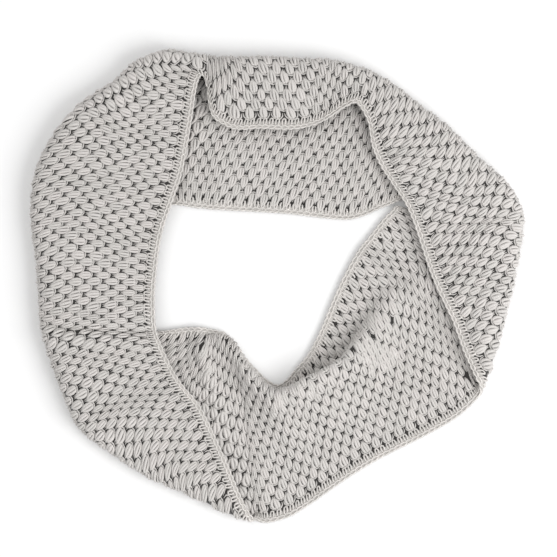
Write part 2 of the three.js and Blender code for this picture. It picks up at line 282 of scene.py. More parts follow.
# Pulls of the inside beside the lower rim.
LOWER_PULLS = (
    Pull(8.0, 1.10, -0.05, 1.02),
    Pull(14.6, 1.09, -0.07, 1.02),
    Pull(18.0, 1.12, -0.09, 1.04),
    Pull(24.0, 1.06, 0.00, 1.04),
    Pull(34.0, 1.00, 0.00, 1.05),
    Pull(39.0, 1.03, 0.08, 1.08),
    Pull(47.0, 1.00, 0.00, 1.04),
)
# Pulls of the inside across the open bottom, counted from the upper rim.
OPEN_PULLS = (
    Pull(34.0, 1.00, 0.00, 1.05),
    Pull(36.2, 0.95, 0.00, 1.06),
    Pull(39.0, 0.99, -0.02, 1.07),
    Pull(40.6, 1.00, -0.12, 1.08),
    Pull(42.6, 1.04, -0.26, 1.10),
    Pull(44.2, 1.02, -0.34, 1.08),
    Pull(46.0, 0.80, -0.34, 1.06),
    Pull(48.0, 0.80, -0.30, 1.02),
    Pull(50.0, 0.90, -0.26, 1.00),
    Pull(53.0, 1.00, -0.10, 1.00),
)


def unit(vectors: np.ndarray) -> np.ndarray:
    """Vectors of length one in the same directions."""
    lengths = np.linalg.norm(vectors, axis=-1, keepdims=True)
    return vectors / np.maximum(lengths, TINY)


def lengths_along(path: np.ndarray) -> np.ndarray:
    """Length along a path up to each of its points."""
    steps = np.linalg.norm(np.diff(path, axis=0), axis=1)
    return np.concatenate([[0.0], np.cumsum(steps)])


def read_path(path: np.ndarray, lengths: np.ndarray, targets: np.ndarray) -> np.ndarray:
    """Points at given lengths along a path, carried straight on past its ends.

    Args:
        path: The path's points, one row each.
        lengths: Length along the path up to each point.
        targets: The lengths to read, which may lie outside the path.

    Returns:
        One point for each target.
    """
    inside = np.clip(targets, 0.0, lengths[-1])
    points = np.stack([np.interp(inside, lengths, path[:, k]) for k in range(3)], axis=1)
    start = unit(path[0] - path[END_SPAN])
    end = unit(path[-1] - path[-1 - END_SPAN])
    points += np.maximum(-targets, 0.0)[:, None] * start
    points += np.maximum(targets - lengths[-1], 0.0)[:, None] * end
    return points


def evened(values: np.ndarray, reach: int = 8) -> np.ndarray:
    """Values round the ring with their sudden changes evened out.

    Args:
        values: One value for each station.
        reach: Stations over which they are evened out.

    Returns:
        The evened values.
    """
    weights = np.exp(-0.5 * (np.arange(-2 * reach, 2 * reach + 1) / reach) ** 2)
    long = np.concatenate([values[-2 * reach :], values, values[: 2 * reach]])
    return np.convolve(long, weights / weights.sum(), mode="valid")


def placed(name: str, data: bpy.types.ID) -> Piece:
    """A new object with the given data, linked to the scene.

    Args:
        name: Name of the object.
        data: Its mesh, camera or light.

    Returns:
        The object.
    """
    thing = bpy.data.objects.new(name, data)
    bpy.context.scene.collection.objects.link(thing)
    return thing


@dataclass
class ScarfForm:
    """The folded cloth as a run of sections round the ring, in millimetres."""

    wall: float = 6.0
    softness: float = 4.0
    turn_weight: float = 0.12
    probe: float = 1.5
    same_place: float = 0.01
    ridge_lean: float = 6.0
    ridge_clear: float = 10.0
    ridge_top: float = 11.0
    ridge_tail: float = 12.0
    ridge_slope: float = 1.5
    ridge_reach: float = 1.05
    ridge_shoulder: float = 0.35
    ridge_back: float = 12.0
    ridge_low: float = 14.0
    ridge_high: float = 24.0
    ridge_room: float = 0.9
    path_steps: int = 40
    stations: int = 560
    margin: float = 10.0
    step: float = 2.0
    table: np.ndarray = field(init=False)
    places: np.ndarray = field(init=False)
    here: np.ndarray = field(init=False)
    at: dict[str, np.ndarray] = field(init=False)
    widths: np.ndarray = field(init=False)
    paths: list[np.ndarray] = field(init=False)

    def __post_init__(self) -> None:
        """Work out every section's path and centre the ring on the origin."""
        self.table = np.array(SECTIONS, dtype=float)
        self.places = self._section_places()
        self.here = np.arange(self.stations) * self.girth / self.stations
        self.at = self._columns(self.here)
        self.paths = [self._creased(self._section_path(i)) for i in range(self.stations)]
        self.widths = np.array([lengths_along(path)[-1] for path in self.paths])
        self._centre()

    @property
    def girth(self) -> float:
        """Distance once round the ring."""
        return float(self.places[-1])

    @property
    def floor_mid(self) -> float:
        """Height of the middle of a layer that lies on the surface."""
        return self.wall / 2

    def _section_places(self) -> np.ndarray:
        """Distance round the ring at each row of the table, averaged over its rim, fold and knee.

        Returns:
            The distances, with the whole way round as the last.
        """
        step = np.roll(self.table, -1, axis=0) - self.table
        columns = [COLUMNS.index(name) for name in ("rim_x", "fold_x", "knee_x")]
        spans = [np.hypot(step[:, k], step[:, k + 1]) for k in columns]
        turned = np.abs(step[:, COLUMNS.index("turn")]) * self.turn_weight
        return np.concatenate([[0.0], np.cumsum(sum(spans) / len(spans) + turned)])

    def _slopes(self) -> tuple[np.ndarray, np.ndarray]:
        """How the table's columns change at each of its rows.

        Returns:
            The slope of every column at each row, and the distance from each row to the next.
        """
        keys = self.places[:-1]
        before = keys - np.roll(keys, 1)
        before[0] += self.girth
        after = np.roll(before, -1)
        share = (before / (before + after))[:, None]
        rise = (self.table - np.roll(self.table, 1, axis=0)) / before[:, None]
        return rise * (1 - share) + np.roll(rise, -1, axis=0) * share, after

    def _columns(self, where: np.ndarray) -> dict[str, np.ndarray]:
        """All columns of the table on smooth closed curves.

        Args:
            where: Distances round the ring.

        Returns:
            The values of each column at those distances.
        """
        count = len(self.table)
        slope, after = self._slopes()
        where = np.mod(where, self.girth)
        i = np.clip(np.searchsorted(self.places, where, side="right") - 1, 0, count - 1)
        j = (i + 1) % count
        span = after[i][:, None]
        t = (where - self.places[i])[:, None] / span
        value = self.table[i] * (1 + 2 * t) * (1 - t) ** 2 + self.table[j] * t * t * (3 - 2 * t)
        value += slope[i] * span * t * (1 - t) ** 2 - slope[j] * span * t * t * (1 - t)
        at = {name: value[:, k] for k, name in enumerate(COLUMNS)}
        at["turn"] = np.clip(at["turn"], 0, 180)
        at["ridge"] = np.maximum(at["ridge"], 0)
        at["rim_z"] = np.maximum(at["rim_z"], self.floor_mid)
        return at

    def steepness(self, ridge: np.ndarray) -> np.ndarray:
        """How steeply ridges of given heights stand, from 0 to 1."""
        return np.clip((ridge - self.ridge_low) / (self.ridge_high - self.ridge_low), 0, 1)

    def clearance(self, knee: np.ndarray) -> np.ndarray:
        """How clear of the lower rim knees at given distances from it are, from 0 to 1."""
        return np.clip(knee / self.ridge_clear - 1, 0, 1)

    def _outward(self, place: float) -> np.ndarray:
        """Direction that faces out across the fold at a place round the ring.

        Args:
            place: Distance round the ring.

        Returns:
            The direction, of length one.
        """
        ends = self._columns(np.array([place - self.probe, place + self.probe]))
        along_x = ends["fold_x"][1] - ends["fold_x"][0]
        along_y = ends["fold_y"][1] - ends["fold_y"][0]
        return unit(np.array([-along_y, along_x, 0.0]))

    def _fold_arc(self, i: int, centre: np.ndarray, out: np.ndarray) -> np.ndarray:
        """The fold, from the layer on the surface up to the layer above.

        Args:
            i: Station round the ring.
            centre: Where the layer on the surface meets the fold.
            out: Direction that faces out across the fold.

        Returns:
            The arc's points.
        """
        angles = np.radians(-90 + self.at["turn"][i] * np.linspace(0, 1, self.path_steps + 1))
        radius = self.at["radius"][i]
        points = centre + radius * np.cos(angles)[:, None] * out
        points[:, 2] = self.floor_mid + radius * (1 + np.sin(angles))
        return points

    def _upper_layer(self, i: int, start: np.ndarray, out: np.ndarray) -> np.ndarray:
        """The layer above, from the fold to the upper rim, with its crown.

        Args:
            i: Station round the ring.
            start: End of the fold's arc.
            out: Direction that faces out across the fold.

        Returns:
            The curve's points.
        """
        end = np.array([self.at["rim_x"][i], self.at["rim_y"][i], self.at["rim_z"][i]])
        reach = np.linalg.norm(end - start) / 3
        angle = math.radians(-90 + self.at["turn"][i])
        heading = -math.sin(angle) * out + np.array([0.0, 0.0, math.cos(angle)])
        crown = self.at["crown"][i]
        near = start + reach * heading + np.array([0.0, 0.0, crown])
        far = end + (start - end) / 3
        far[2] = end[2] + crown
        t = np.linspace(0, 1, self.path_steps + 1)[:, None]
        curve = start * (1 - t) ** 3 + 3 * near * t * (1 - t) ** 2
        return curve + 3 * far * t * t * (1 - t) + end * t**3

    def _lower_layer(self, i: int, centre: np.ndarray) -> np.ndarray:
        """The layer on the surface, from the lower rim over the ridge at its knee to the fold.

        Args:
            i: Station round the ring.
            centre: Where the layer on the surface meets the fold.

        Returns:
            The corners of its path.
        """
        at = self.at
        rim = np.array([at["low_x"][i], at["low_y"][i], self.floor_mid])
        knee = np.array([at["knee_x"][i], at["knee_y"][i], self.floor_mid])
        length = np.linalg.norm(centre - knee)
        onward = (centre - knee) / length
        ridge = at["ridge"][i]
        height = ridge * self.ridge_reach
        steep = self.steepness(ridge)
        lean = self.ridge_lean * steep - self.ridge_back * (1 - steep)
        lean *= self.clearance(np.linalg.norm(rim - knee))
        foot = self.ridge_top - min(lean, 0.0)
        tail = self.ridge_tail + ridge * self.ridge_slope
        toe = min(foot + tail, length * self.ridge_room)
        rises = (
            (-lean, height),
            (self.ridge_top - lean, height),
            ((foot + toe) / 2, height * self.ridge_shoulder),
            (toe, 0.0),
        )
        up = np.array([0.0, 0.0, 1.0])
        ridge_points = [knee + onward * distance + up * rise for distance, rise in rises]
        return np.array([rim, knee, *ridge_points, centre])

    def _section_path(self, i: int) -> np.ndarray:
        """The whole path of a section, from the upper rim over the fold to the lower rim.

        Args:
            i: Station round the ring.

        Returns:
            The path's points, a millimetre apart.
        """
        out = self._outward(self.here[i])
        lift = math.sin(math.radians(min(self.at["turn"][i], 90)))
        centre = np.array([self.at["fold_x"][i], self.at["fold_y"][i], self.floor_mid])
        centre -= out * (self.at["radius"][i] + self.wall / 2) * lift
        arc = self._fold_arc(i, centre, out)
        upper = self._upper_layer(i, arc[-1], out)
        lower = self._lower_layer(i, centre)
        path = np.concatenate([upper[::-1], arc[::-1], lower[::-1]])
        moved = np.linalg.norm(np.diff(path, axis=0), axis=1) > self.same_place
        path = path[np.concatenate([[True], moved])]
        return self._softened(path)

    def _creased(self, path: np.ndarray) -> np.ndarray:
        """The same path sunk into the creases that cross it.

        Args:
            path: A section's points.

        Returns:
            The sunken points.
        """
        lowered = path.copy()
        for crease in CREASES:
            lowered[:, 2] -= crease.lowered(path)
        return lowered

    def _softened(self, path: np.ndarray) -> np.ndarray:
        """The same path in even steps with its corners rounded and its two ends left in place.

        Args:
            path: A section's points.

        Returns:
            Points of the softened path.
        """
        lengths = lengths_along(path)
        steps = round(lengths[-1])
        even = read_path(path, lengths, np.linspace(0, lengths[-1], steps + 1))
        reach = math.ceil(3 * self.softness)
        head = 2 * even[0] - even[reach:0:-1]
        tail = 2 * even[-1] - even[-2 : -2 - reach : -1]
        long = np.concatenate([head, even, tail])
        weights = np.exp(-0.5 * (np.arange(-reach, reach + 1) / self.softness) ** 2)
        weights /= weights.sum()
        return np.stack([np.convolve(long[:, k], weights, mode="valid") for k in range(3)], axis=1)

    def _centre(self) -> None:
        """Move the ring so that the middle of its footprint is the origin."""
        everything = np.concatenate(self.paths)
        middle = (everything.min(axis=0) + everything.max(axis=0)) / 2
        middle[2] = 0.0
        self.paths = [path - middle for path in self.paths]
        for name in COLUMNS:
            axis = {"_x": 0, "_y": 1}.get(name[-2:])
            if axis is not None:
                self.at[name] = self.at[name] - middle[axis]

    def pulled(self, pulls: tuple[Pull, ...], name: str) -> np.ndarray:
        """One value of a run of pulls at every station.

        Args:
            pulls: Pulls in the order of their sections.
            name: The value to read.

        Returns:
            The value at each station.
        """
        sections = np.arange(len(self.table) + 1)
        keys = np.interp([pull.section for pull in pulls], sections, self.places)
        values = [getattr(pull, name) for pull in pulls]
        return np.interp(self.here, keys, values, period=self.girth)

    def grid(self, rim: Rim) -> ClothGrid:
        """The cloth's middle surface on a grid, with distances counted from one rim.

        Args:
            rim: The rim to count from.

        Returns:
            Points and outside directions at each station and distance.
        """
        farthest = self.widths.max() + self.margin
        distances = np.arange(-self.margin, farthest, self.step)
        rows = []
        for path in self.paths:
            run = path if rim is Rim.UPPER else path[::-1]
            rows.append(read_path(run, lengths_along(run), distances))
        points = np.stack(rows)
        along = np.roll(points, -1, axis=0) - np.roll(points, 1, axis=0)
        across = np.gradient(points, axis=1)
        if rim is Rim.LOWER:
            across = -across
        facing = unit(np.cross(along, across))
        return ClothGrid(points, facing, distances)

    def run(self, rim: Rim, near: float, far: np.ndarray) -> np.ndarray:
        """Mean length from each station to the next of two lines along the cloth.

        Args:
            rim: The rim that distances are counted from.
            near: Distance of the first line.
            far: Distance of the second line at each station.

        Returns:
            One length for each station.
        """
        grid = self.grid(rim)
        keys = np.arange(self.stations).astype(float)
        total = np.zeros(self.stations)
        for distance in (np.full(self.stations, near), far):
            line = grid.read(grid.points, keys, distance)
            total += np.linalg.norm(np.roll(line, -1, axis=0) - line, axis=1)
        return evened(total / 2)


@dataclass
class ClothGrid:
    """Points and outside directions of the cloth at each station and distance from a rim."""

    points: np.ndarray
    facing: np.ndarray
    distances: np.ndarray

    def read(self, values: np.ndarray, stations: np.ndarray, distances: np.ndarray) -> np.ndarray:
        """Values between the grid's points.

        Args:
            values: One of the grid's arrays.
            stations: Stations round the ring, which may lie between whole ones.
            distances: Distances from the rim.

        Returns:
            One value for each pair.
        """
        count = len(values)
        i = np.floor(stations).astype(int)
        s = (stations - i)[:, None]
        rows = (distances - self.distances[0]) / (self.distances[1] - self.distances[0])
        last = len(self.distances) - 1.001  # just short of the last row, so that one follows it
        rows = np.clip(rows, 0, last)
        j = np.floor(rows).astype(int)
        t = (rows - j)[:, None]
        i0 = i % count
        i1 = (i + 1) % count
        near = values[i0, j] * (1 - t) + values[i0, j + 1] * t
        far = values[i1, j] * (1 - t) + values[i1, j + 1] * t
        return near * (1 - s) + far * s

    def sections(self, stations: np.ndarray, distances: np.ndarray) -> tuple[np.ndarray, np.ndarray]:
        """Points and outside directions along whole sections.

        Args:
            stations: Stations round the ring.
            distances: Distances from the rim, one row for each station.

        Returns:
            Both, one row for each station.
        """
        keys = np.repeat(stations, distances.shape[1]).astype(float)
        shape = (*distances.shape, 3)
        points = self.read(self.points, keys, distances.ravel()).reshape(shape)
        facing = unit(self.read(self.facing, keys, distances.ravel())).reshape(shape)
        return points, facing


@dataclass
class Shape:
    """A small mesh in the flat pattern, in millimetres, with its strands' own coordinates."""

    points: list[tuple[float, float, float]] = field(default_factory=list)
    faces: list[tuple[int, ...]] = field(default_factory=list)
    strand_uv: list[tuple[float, float]] = field(default_factory=list)

    def add_strand(self, path: np.ndarray, radii: np.ndarray, sides: int = 3) -> None:
        """Add a closed strand of yarn with its first corner on top.

        Args:
            path: Middle points of the strand.
            radii: Its radius at each point.
            sides: Corners of its section.
        """
        first = len(self.points)
        last = first + (len(path) - 1) * sides
        lengths = lengths_along(path)
        self._add_corners(path, radii, sides)
        for i, (start, end) in enumerate(zip(lengths[:-1], lengths[1:])):
            self._add_band(first + i * sides, sides, start, end)
        self.faces.append(tuple(first + k for k in reversed(range(sides))))
        self.faces.append(tuple(last + k for k in range(sides)))
        self.strand_uv += [(0.0, 0.5)] * sides + [(lengths[-1], 0.5)] * sides

    def _add_corners(self, path: np.ndarray, radii: np.ndarray, sides: int) -> None:
        """Add a ring of corners round each point of a strand.

        Args:
            path: Middle points of the strand.
            radii: Its radius at each point.
            sides: Corners of its section.
        """
        tangents = unit(np.gradient(path, axis=0))
        aside = unit(np.cross(tangents, np.array([0.0, 0.0, 1.0])))
        above = np.cross(aside, tangents)
        for middle, right, top, radius in zip(path, aside, above, radii):
            for k in range(sides):
                angle = 2 * math.pi * k / sides
                corner = middle + radius * (math.cos(angle) * top + math.sin(angle) * right)
                self.points.append(tuple(corner))

    def _add_band(self, first: int, sides: int, start: float, end: float) -> None:
        """Add the faces between a strand's ring of corners and the next.

        Args:
            first: Number of the ring's first corner.
            sides: Corners of the ring.
            start: Length along the strand at the ring.
            end: Length along the strand at the next ring.
        """
        for k in range(sides):
            a = first + k
            b = first + (k + 1) % sides
            self.faces.append((a, b, b + sides, a + sides))
            low, high = k / sides, (k + 1) / sides
            self.strand_uv += [(start, low), (start, high), (end, high), (end, low)]

    def to_object(self, name: str) -> Piece:
        """A Blender object with this mesh, in the pattern's millimetres.

        Args:
            name: Name of the object.

        Returns:
            The object.
        """
        mesh = bpy.data.meshes.new(name)
        mesh.from_pydata(self.points, [], self.faces)
        layer = mesh.uv_layers.new(name="strand")
        layer.data.foreach_set("uv", np.array(self.strand_uv, dtype=np.float32).ravel())
        mesh.shade_smooth()
        mesh.update()
        return placed(name, mesh)


@dataclass(frozen=True)
class BeanStitch:
    """One puffy bean stitch: strands of yarn gathered at both ends, and a loop round its foot."""

    name: str
    lean: float
    bow: float
    eye: float
    seed: int
    strands: int = 3
    strand_sides: int = 4
    length: float = 13.1
    width: float = 5.4
    middle: float = 0.485
    places: tuple[float, ...] = (0.0, 0.12, 0.34, 0.60, 0.83, 1.0)
    spread: tuple[float, ...] = (0.35, 0.84, 1.0, 0.88, 0.44, 0.0)
    yarn: float = 1.5
    thinnest: float = 0.62
    head_loss: float = 0.3
    foot_height: float = 1.0
    puff: float = 1.9
    side_drop: float = 0.42
    end_slip: float = 0.9
    end_margin: float = 0.04
    roundness: float = 0.7
    tip_margin: float = 0.06
    fullness: float = 0.6
    jitter: float = 0.3
    foot_yarn: float = 1.1
    foot_loop: tuple[tuple[float, float, float], ...] = (
        (-5.5, -0.6, 0.3), (-5.2, -3.8, 0.8), (-3.3, -6.5, 1.1), (0.0, -7.6, 1.2),
        (3.3, -6.5, 1.1), (5.2, -3.8, 0.8), (5.5, -0.6, 0.3),
    )

    def shape(self) -> Shape:
        """The stitch's mesh: its strands and the loop round its foot.

        Returns:
            The mesh in the flat pattern.
        """
        rng = np.random.default_rng(self.seed)
        shape = Shape()
        for k in range(self.strands):
            aside = 2 * k / (self.strands - 1) - 1
            push = rng.normal(0, self.jitter, 3)
            shape.add_strand(self._strand(aside, push), self._radii(), self.strand_sides)
        self._add_foot_loop(shape)
        return shape

    def _strand(self, aside: float, push: np.ndarray) -> np.ndarray:
        """The path of one strand.

        Args:
            aside: Which side of the stitch it runs along, from -1 to 1.
            push: How far it strays aside and upwards.

        Returns:
            Its middle points.
        """
        t = np.array(self.places)
        bulge = 4 * t * (1 - t)
        along = (t - self.middle) * self.length
        x = (aside * self.width / 2 + push[0]) * np.array(self.spread) + self.lean * along
        x += self.bow * bulge + self.eye * np.sign(aside) * bulge * (1 - abs(aside) / 2)
        inner = self.end_margin + t * (1 - 2 * self.end_margin)
        lift = np.sin(np.pi * inner) ** self.roundness
        z = self.foot_height + lift * (self.puff * (1 - self.side_drop * aside**2) + push[1])
        ends = np.isin(t, (0.0, 1.0)) * abs(aside) * self.end_slip
        return np.stack([x, along + ends * np.sign(0.5 - t), z], axis=1)

    def _radii(self) -> np.ndarray:
        """The radius of a strand at each of its points, thinner towards its head.

        Returns:
            The radii.
        """
        t = np.array(self.places)
        inner = np.clip(t, self.tip_margin, 1 - self.tip_margin)
        full = np.sin(np.pi * inner) ** self.fullness
        radii = self.yarn * (self.thinnest + (1 - self.thinnest) * full)
        return radii * (1 - self.head_loss * t**3)

    def _add_foot_loop(self, shape: Shape) -> None:
        """Add the light strand that runs round the stitch's foot from hole to hole.

        Args:
            shape: The mesh that it is added to.
        """
        outline = np.array(self.foot_loop)
        outline[:, 0] += self.lean * outline[:, 1]
        shape.add_strand(outline, np.full(len(outline), self.foot_yarn))


@dataclass(frozen=True)
class ChainLink:
    """One link of the chain along a rim: two strands that part and meet."""

    name: str = "chain_link"
    pitch: float = 6.4
    overlap: float = 1.35
    middle: float = 0.42
    half_width: float = 1.8
    yarn: float = 1.25
    thinnest: float = 0.75
    height: float = 2.3
    lowest: float = 0.55
    meeting: float = 1.05
    fullness: float = 0.8
    side_lift: float = 0.1
    steps: int = 5

    def shape(self) -> Shape:
        """The link's mesh.

        Returns:
            The mesh in the flat pattern.
        """
        shape = Shape()
        t = np.linspace(0, 1, self.steps + 1)
        bulge = np.sin(np.pi * t)
        x = (t - self.middle) * self.pitch * self.overlap
        radii = self.yarn * (self.thinnest + (1 - self.thinnest) * bulge)
        parted = np.sin(np.pi * np.clip(t * self.meeting, 0, 1)) ** self.fullness
        for side in (-1, 1):
            y = side * self.half_width * parted
            z = self.height * (self.lowest + (1 - self.lowest) * bulge) + self.side_lift * side
            shape.add_strand(np.stack([x, y, z], axis=1), radii)
        return shape


@dataclass(frozen=True)
class SingleStitch:
    """One single crochet below the chain: a narrow slanting loop, open at one end."""

    name: str = "single_stitch"
    half_length: float = 3.2
    half_width: float = 1.6
    squareness: float = 0.6
    slant: float = 0.4
    opening: float = 0.42
    points: int = 9
    yarn: float = 1.2
    end_share: float = 0.7
    height: float = 1.9
    wave: float = 0.35
    waves: float = 1.5

    def shape(self) -> Shape:
        """The loop's mesh.

        Returns:
            The mesh in the flat pattern.
        """
        shape = Shape()
        turn = np.linspace(-self.opening * math.pi, (1 + self.opening) * math.pi, self.points)
        aside = np.sign(np.cos(turn)) * np.abs(np.cos(turn)) ** self.squareness
        x = self.half_width * aside + self.slant * np.sin(turn)
        y = self.half_length * np.sin(turn)
        z = self.height + self.wave * np.cos(turn * self.waves)
        radii = np.full(len(turn), self.yarn)
        radii[[0, -1]] *= self.end_share
        shape.add_strand(np.stack([x, y, z], axis=1), radii)
        return shape


class NodeCanvas:
    """A node tree with short ways to add nodes and links."""

    def __init__(self, tree: bpy.types.NodeTree) -> None:
        """Keep the tree that nodes are added to."""
        self.tree = tree

    def add(self, kind: str, **settings: object) -> bpy.types.Node:
        """Add a node and set its own options.

        Args:
            kind: The node's type.
            settings: Options by name.

        Returns:
            The new node.
        """
        node = self.tree.nodes.new(kind)
        for name, value in settings.items():
            setattr(node, name, value)
        return node

    def link(self, source: Socket, target: Socket) -> None:
        """Link an output to an input."""
        self.tree.links.new(source, target)

    def maths(self, operation: str, *values: object) -> Socket:
        """A Math node.

        Args:
            operation: What the node works out.
            values: Sockets or numbers, in the order of the node's inputs.

        Returns:
            The node's output.
        """
        node = self.add("ShaderNodeMath", operation=operation)
        for socket, value in zip(node.inputs, values):
            self.feed(socket, value)
        return node.outputs[0]

    def vectors(
        self, operation: str, a: Socket, b: Socket | None = None, scale: object = None
    ) -> Socket:
        """A Vector Math node.

        Args:
            operation: What the node works out.
            a: First socket.
            b: Second socket.
            scale: Socket or number for the operations that scale.

        Returns:
            The node's output.
        """
        node = self.add("ShaderNodeVectorMath", operation=operation)
        self.feed(node.inputs[0], a)
        self.feed(node.inputs[1], b)
        self.feed(node.inputs[3], scale)
        return node.outputs[0]

    def feed(self, socket: Socket, value: object) -> None:
        """Link a socket or set a constant, unless there is nothing to feed.

        Args:
            socket: The input.
            value: A socket, a constant or nothing.
        """
        if value is None:
            return
        if isinstance(value, Socket):
            self.link(value, socket)
        else:
            socket.default_value = value


class StitchTree:
    """Geometry Nodes that set stitches out on a pattern's points and lay them on the cloth."""

    INPUTS = (
        ("Points", "NodeSocketGeometry"),
        ("First shape", "NodeSocketObject"),
        ("Second shape", "NodeSocketObject"),
        ("Third shape", "NodeSocketObject"),
        ("Cloth", "NodeSocketObject"),
        ("Corner", "NodeSocketVector"),
        ("Span", "NodeSocketVector"),
        ("Size spread", "NodeSocketFloat"),
        ("Turn spread", "NodeSocketFloat"),
        ("Relief", "NodeSocketFloat"),
        ("Seed", "NodeSocketInt"),
        ("Wool", "NodeSocketMaterial"),
    )

    def __init__(self) -> None:
        """Build the tree once."""
        self.tree = bpy.data.node_groups.new("StitchesOnCloth", "GeometryNodeTree")
        for name, kind in self.INPUTS:
            self.tree.interface.new_socket(name, in_out="INPUT", socket_type=kind)
        self.tree.interface.new_socket("Stitches", in_out="OUTPUT", socket_type="NodeSocketGeometry")
        self.canvas = NodeCanvas(self.tree)
        self.given = self.canvas.add("NodeGroupInput").outputs
        stitches = self._lay_on_cloth(self._set_out())
        out = self.canvas.add("NodeGroupOutput")
        self.canvas.link(stitches, out.inputs[0])

    def _random(self, low: object, high: object, offset: int, whole: bool = False) -> Socket:
        """A value for each point that depends on the seed alone.

        Args:
            low: Smallest value.
            high: Largest value.
            offset: Number added to the seed, so that draws differ.
            whole: Whether the value is a whole number.

        Returns:
            The random value's output.
        """
        canvas = self.canvas
        node = canvas.add("FunctionNodeRandomValue", data_type="INT" if whole else "FLOAT")
        # The node keeps separate sockets for whole numbers and for others.
        first = 4 if whole else 2
        canvas.feed(node.inputs[first], low)
        canvas.feed(node.inputs[first + 1], high)
        canvas.link(canvas.maths("ADD", self.given["Seed"], float(offset)), node.inputs["Seed"])
        return node.outputs[2 if whole else 1]

    def _set_out(self) -> Socket:
        """Stand one of the three shapes on each point, each a little different.

        Returns:
            The stitches in the flat pattern.
        """
        canvas = self.canvas
        tint = canvas.add("GeometryNodeStoreNamedAttribute", data_type="FLOAT", domain="POINT")
        tint.inputs["Name"].default_value = "tint"
        canvas.link(self.given["Points"], tint.inputs["Geometry"])
        canvas.link(self._random(0.0, 1.0, 3), tint.inputs["Value"])
        shapes = canvas.add("GeometryNodeJoinGeometry")
        for name in ("First shape", "Second shape", "Third shape"):
            info = canvas.add("GeometryNodeObjectInfo", transform_space="ORIGINAL")
            info.inputs["As Instance"].default_value = True
            canvas.link(self.given[name], info.inputs["Object"])
            canvas.link(info.outputs["Geometry"], shapes.inputs[0])
        stand = canvas.add("GeometryNodeInstanceOnPoints")
        canvas.link(tint.outputs["Geometry"], stand.inputs["Points"])
        canvas.link(shapes.outputs[0], stand.inputs["Instance"])
        stand.inputs["Pick Instance"].default_value = True
        canvas.link(self._random(0, 2, 0, whole=True), stand.inputs["Instance Index"])
        spread = self.given["Turn spread"]
        turn = canvas.add("ShaderNodeCombineXYZ")
        canvas.link(self._random(canvas.maths("MULTIPLY", spread, -1.0), spread, 1), turn.inputs["Z"])
        canvas.link(turn.outputs[0], stand.inputs["Rotation"])
        smallest = canvas.maths("SUBTRACT", 1.0, self.given["Size spread"])
        largest = canvas.maths("ADD", 1.0, self.given["Size spread"])
        canvas.link(self._random(smallest, largest, 2), stand.inputs["Scale"])
        made = canvas.add("GeometryNodeRealizeInstances")
        canvas.link(stand.outputs[0], made.inputs[0])
        return made.outputs[0]

    def _lay_on_cloth(self, stitches: Socket) -> Socket:
        """Move the flat stitches onto the folded cloth.

        Args:
            stitches: The stitches in the flat pattern.

        Returns:
            The stitches in place, in metres, with their wool.
        """
        canvas = self.canvas
        cloth = canvas.add("GeometryNodeObjectInfo", transform_space="ORIGINAL")
        canvas.link(self.given["Cloth"], cloth.inputs["Object"])
        position = canvas.add("GeometryNodeInputPosition").outputs[0]
        offset = canvas.vectors("SUBTRACT", position, self.given["Corner"])
        flat = canvas.vectors("DIVIDE", offset, self.given["Span"])
        height = canvas.add("ShaderNodeSeparateXYZ")
        canvas.link(position, height.inputs[0])
        base = self._sample(cloth.outputs["Geometry"], position, flat)
        facing = self._sample(cloth.outputs["Geometry"], self._named("facing"), flat)
        rise = canvas.maths("MULTIPLY", height.outputs["Z"], self.given["Relief"])
        lifted = canvas.vectors("SCALE", facing, scale=rise)
        moved = canvas.add("GeometryNodeSetPosition")
        canvas.link(stitches, moved.inputs["Geometry"])
        canvas.link(canvas.vectors("ADD", base, lifted), moved.inputs["Position"])
        wool = canvas.add("GeometryNodeSetMaterial")
        canvas.link(moved.outputs[0], wool.inputs["Geometry"])
        canvas.link(self.given["Wool"], wool.inputs["Material"])
        return wool.outputs[0]

    def _named(self, name: str) -> Socket:
        """A stored vector of the cloth by name.

        Args:
            name: Name of the attribute.

        Returns:
            The vector's output.
        """
        node = self.canvas.add("GeometryNodeInputNamedAttribute", data_type="FLOAT_VECTOR")
        node.inputs["Name"].default_value = name
        return node.outputs[0]

    def _sample(self, cloth: Socket, value: Socket, flat: Socket) -> Socket:
        """A vector of the cloth read at places of the flat pattern.

        Args:
            cloth: The cloth's mesh.
            value: The vector to read.
            flat: Where each point lies in the pattern, from 0 to 1 both ways.

        Returns:
            The vector at each point.
        """
        node = self.canvas.add("GeometryNodeSampleUVSurface", data_type="FLOAT_VECTOR")
        sockets = [socket for socket in node.inputs if socket.enabled]
        self.canvas.link(cloth, sockets[0])
        self.canvas.link(value, sockets[1])
        self.canvas.link(self._named("pattern"), sockets[2])
        self.canvas.link(flat, sockets[3])
        return next(socket for socket in node.outputs if socket.enabled)

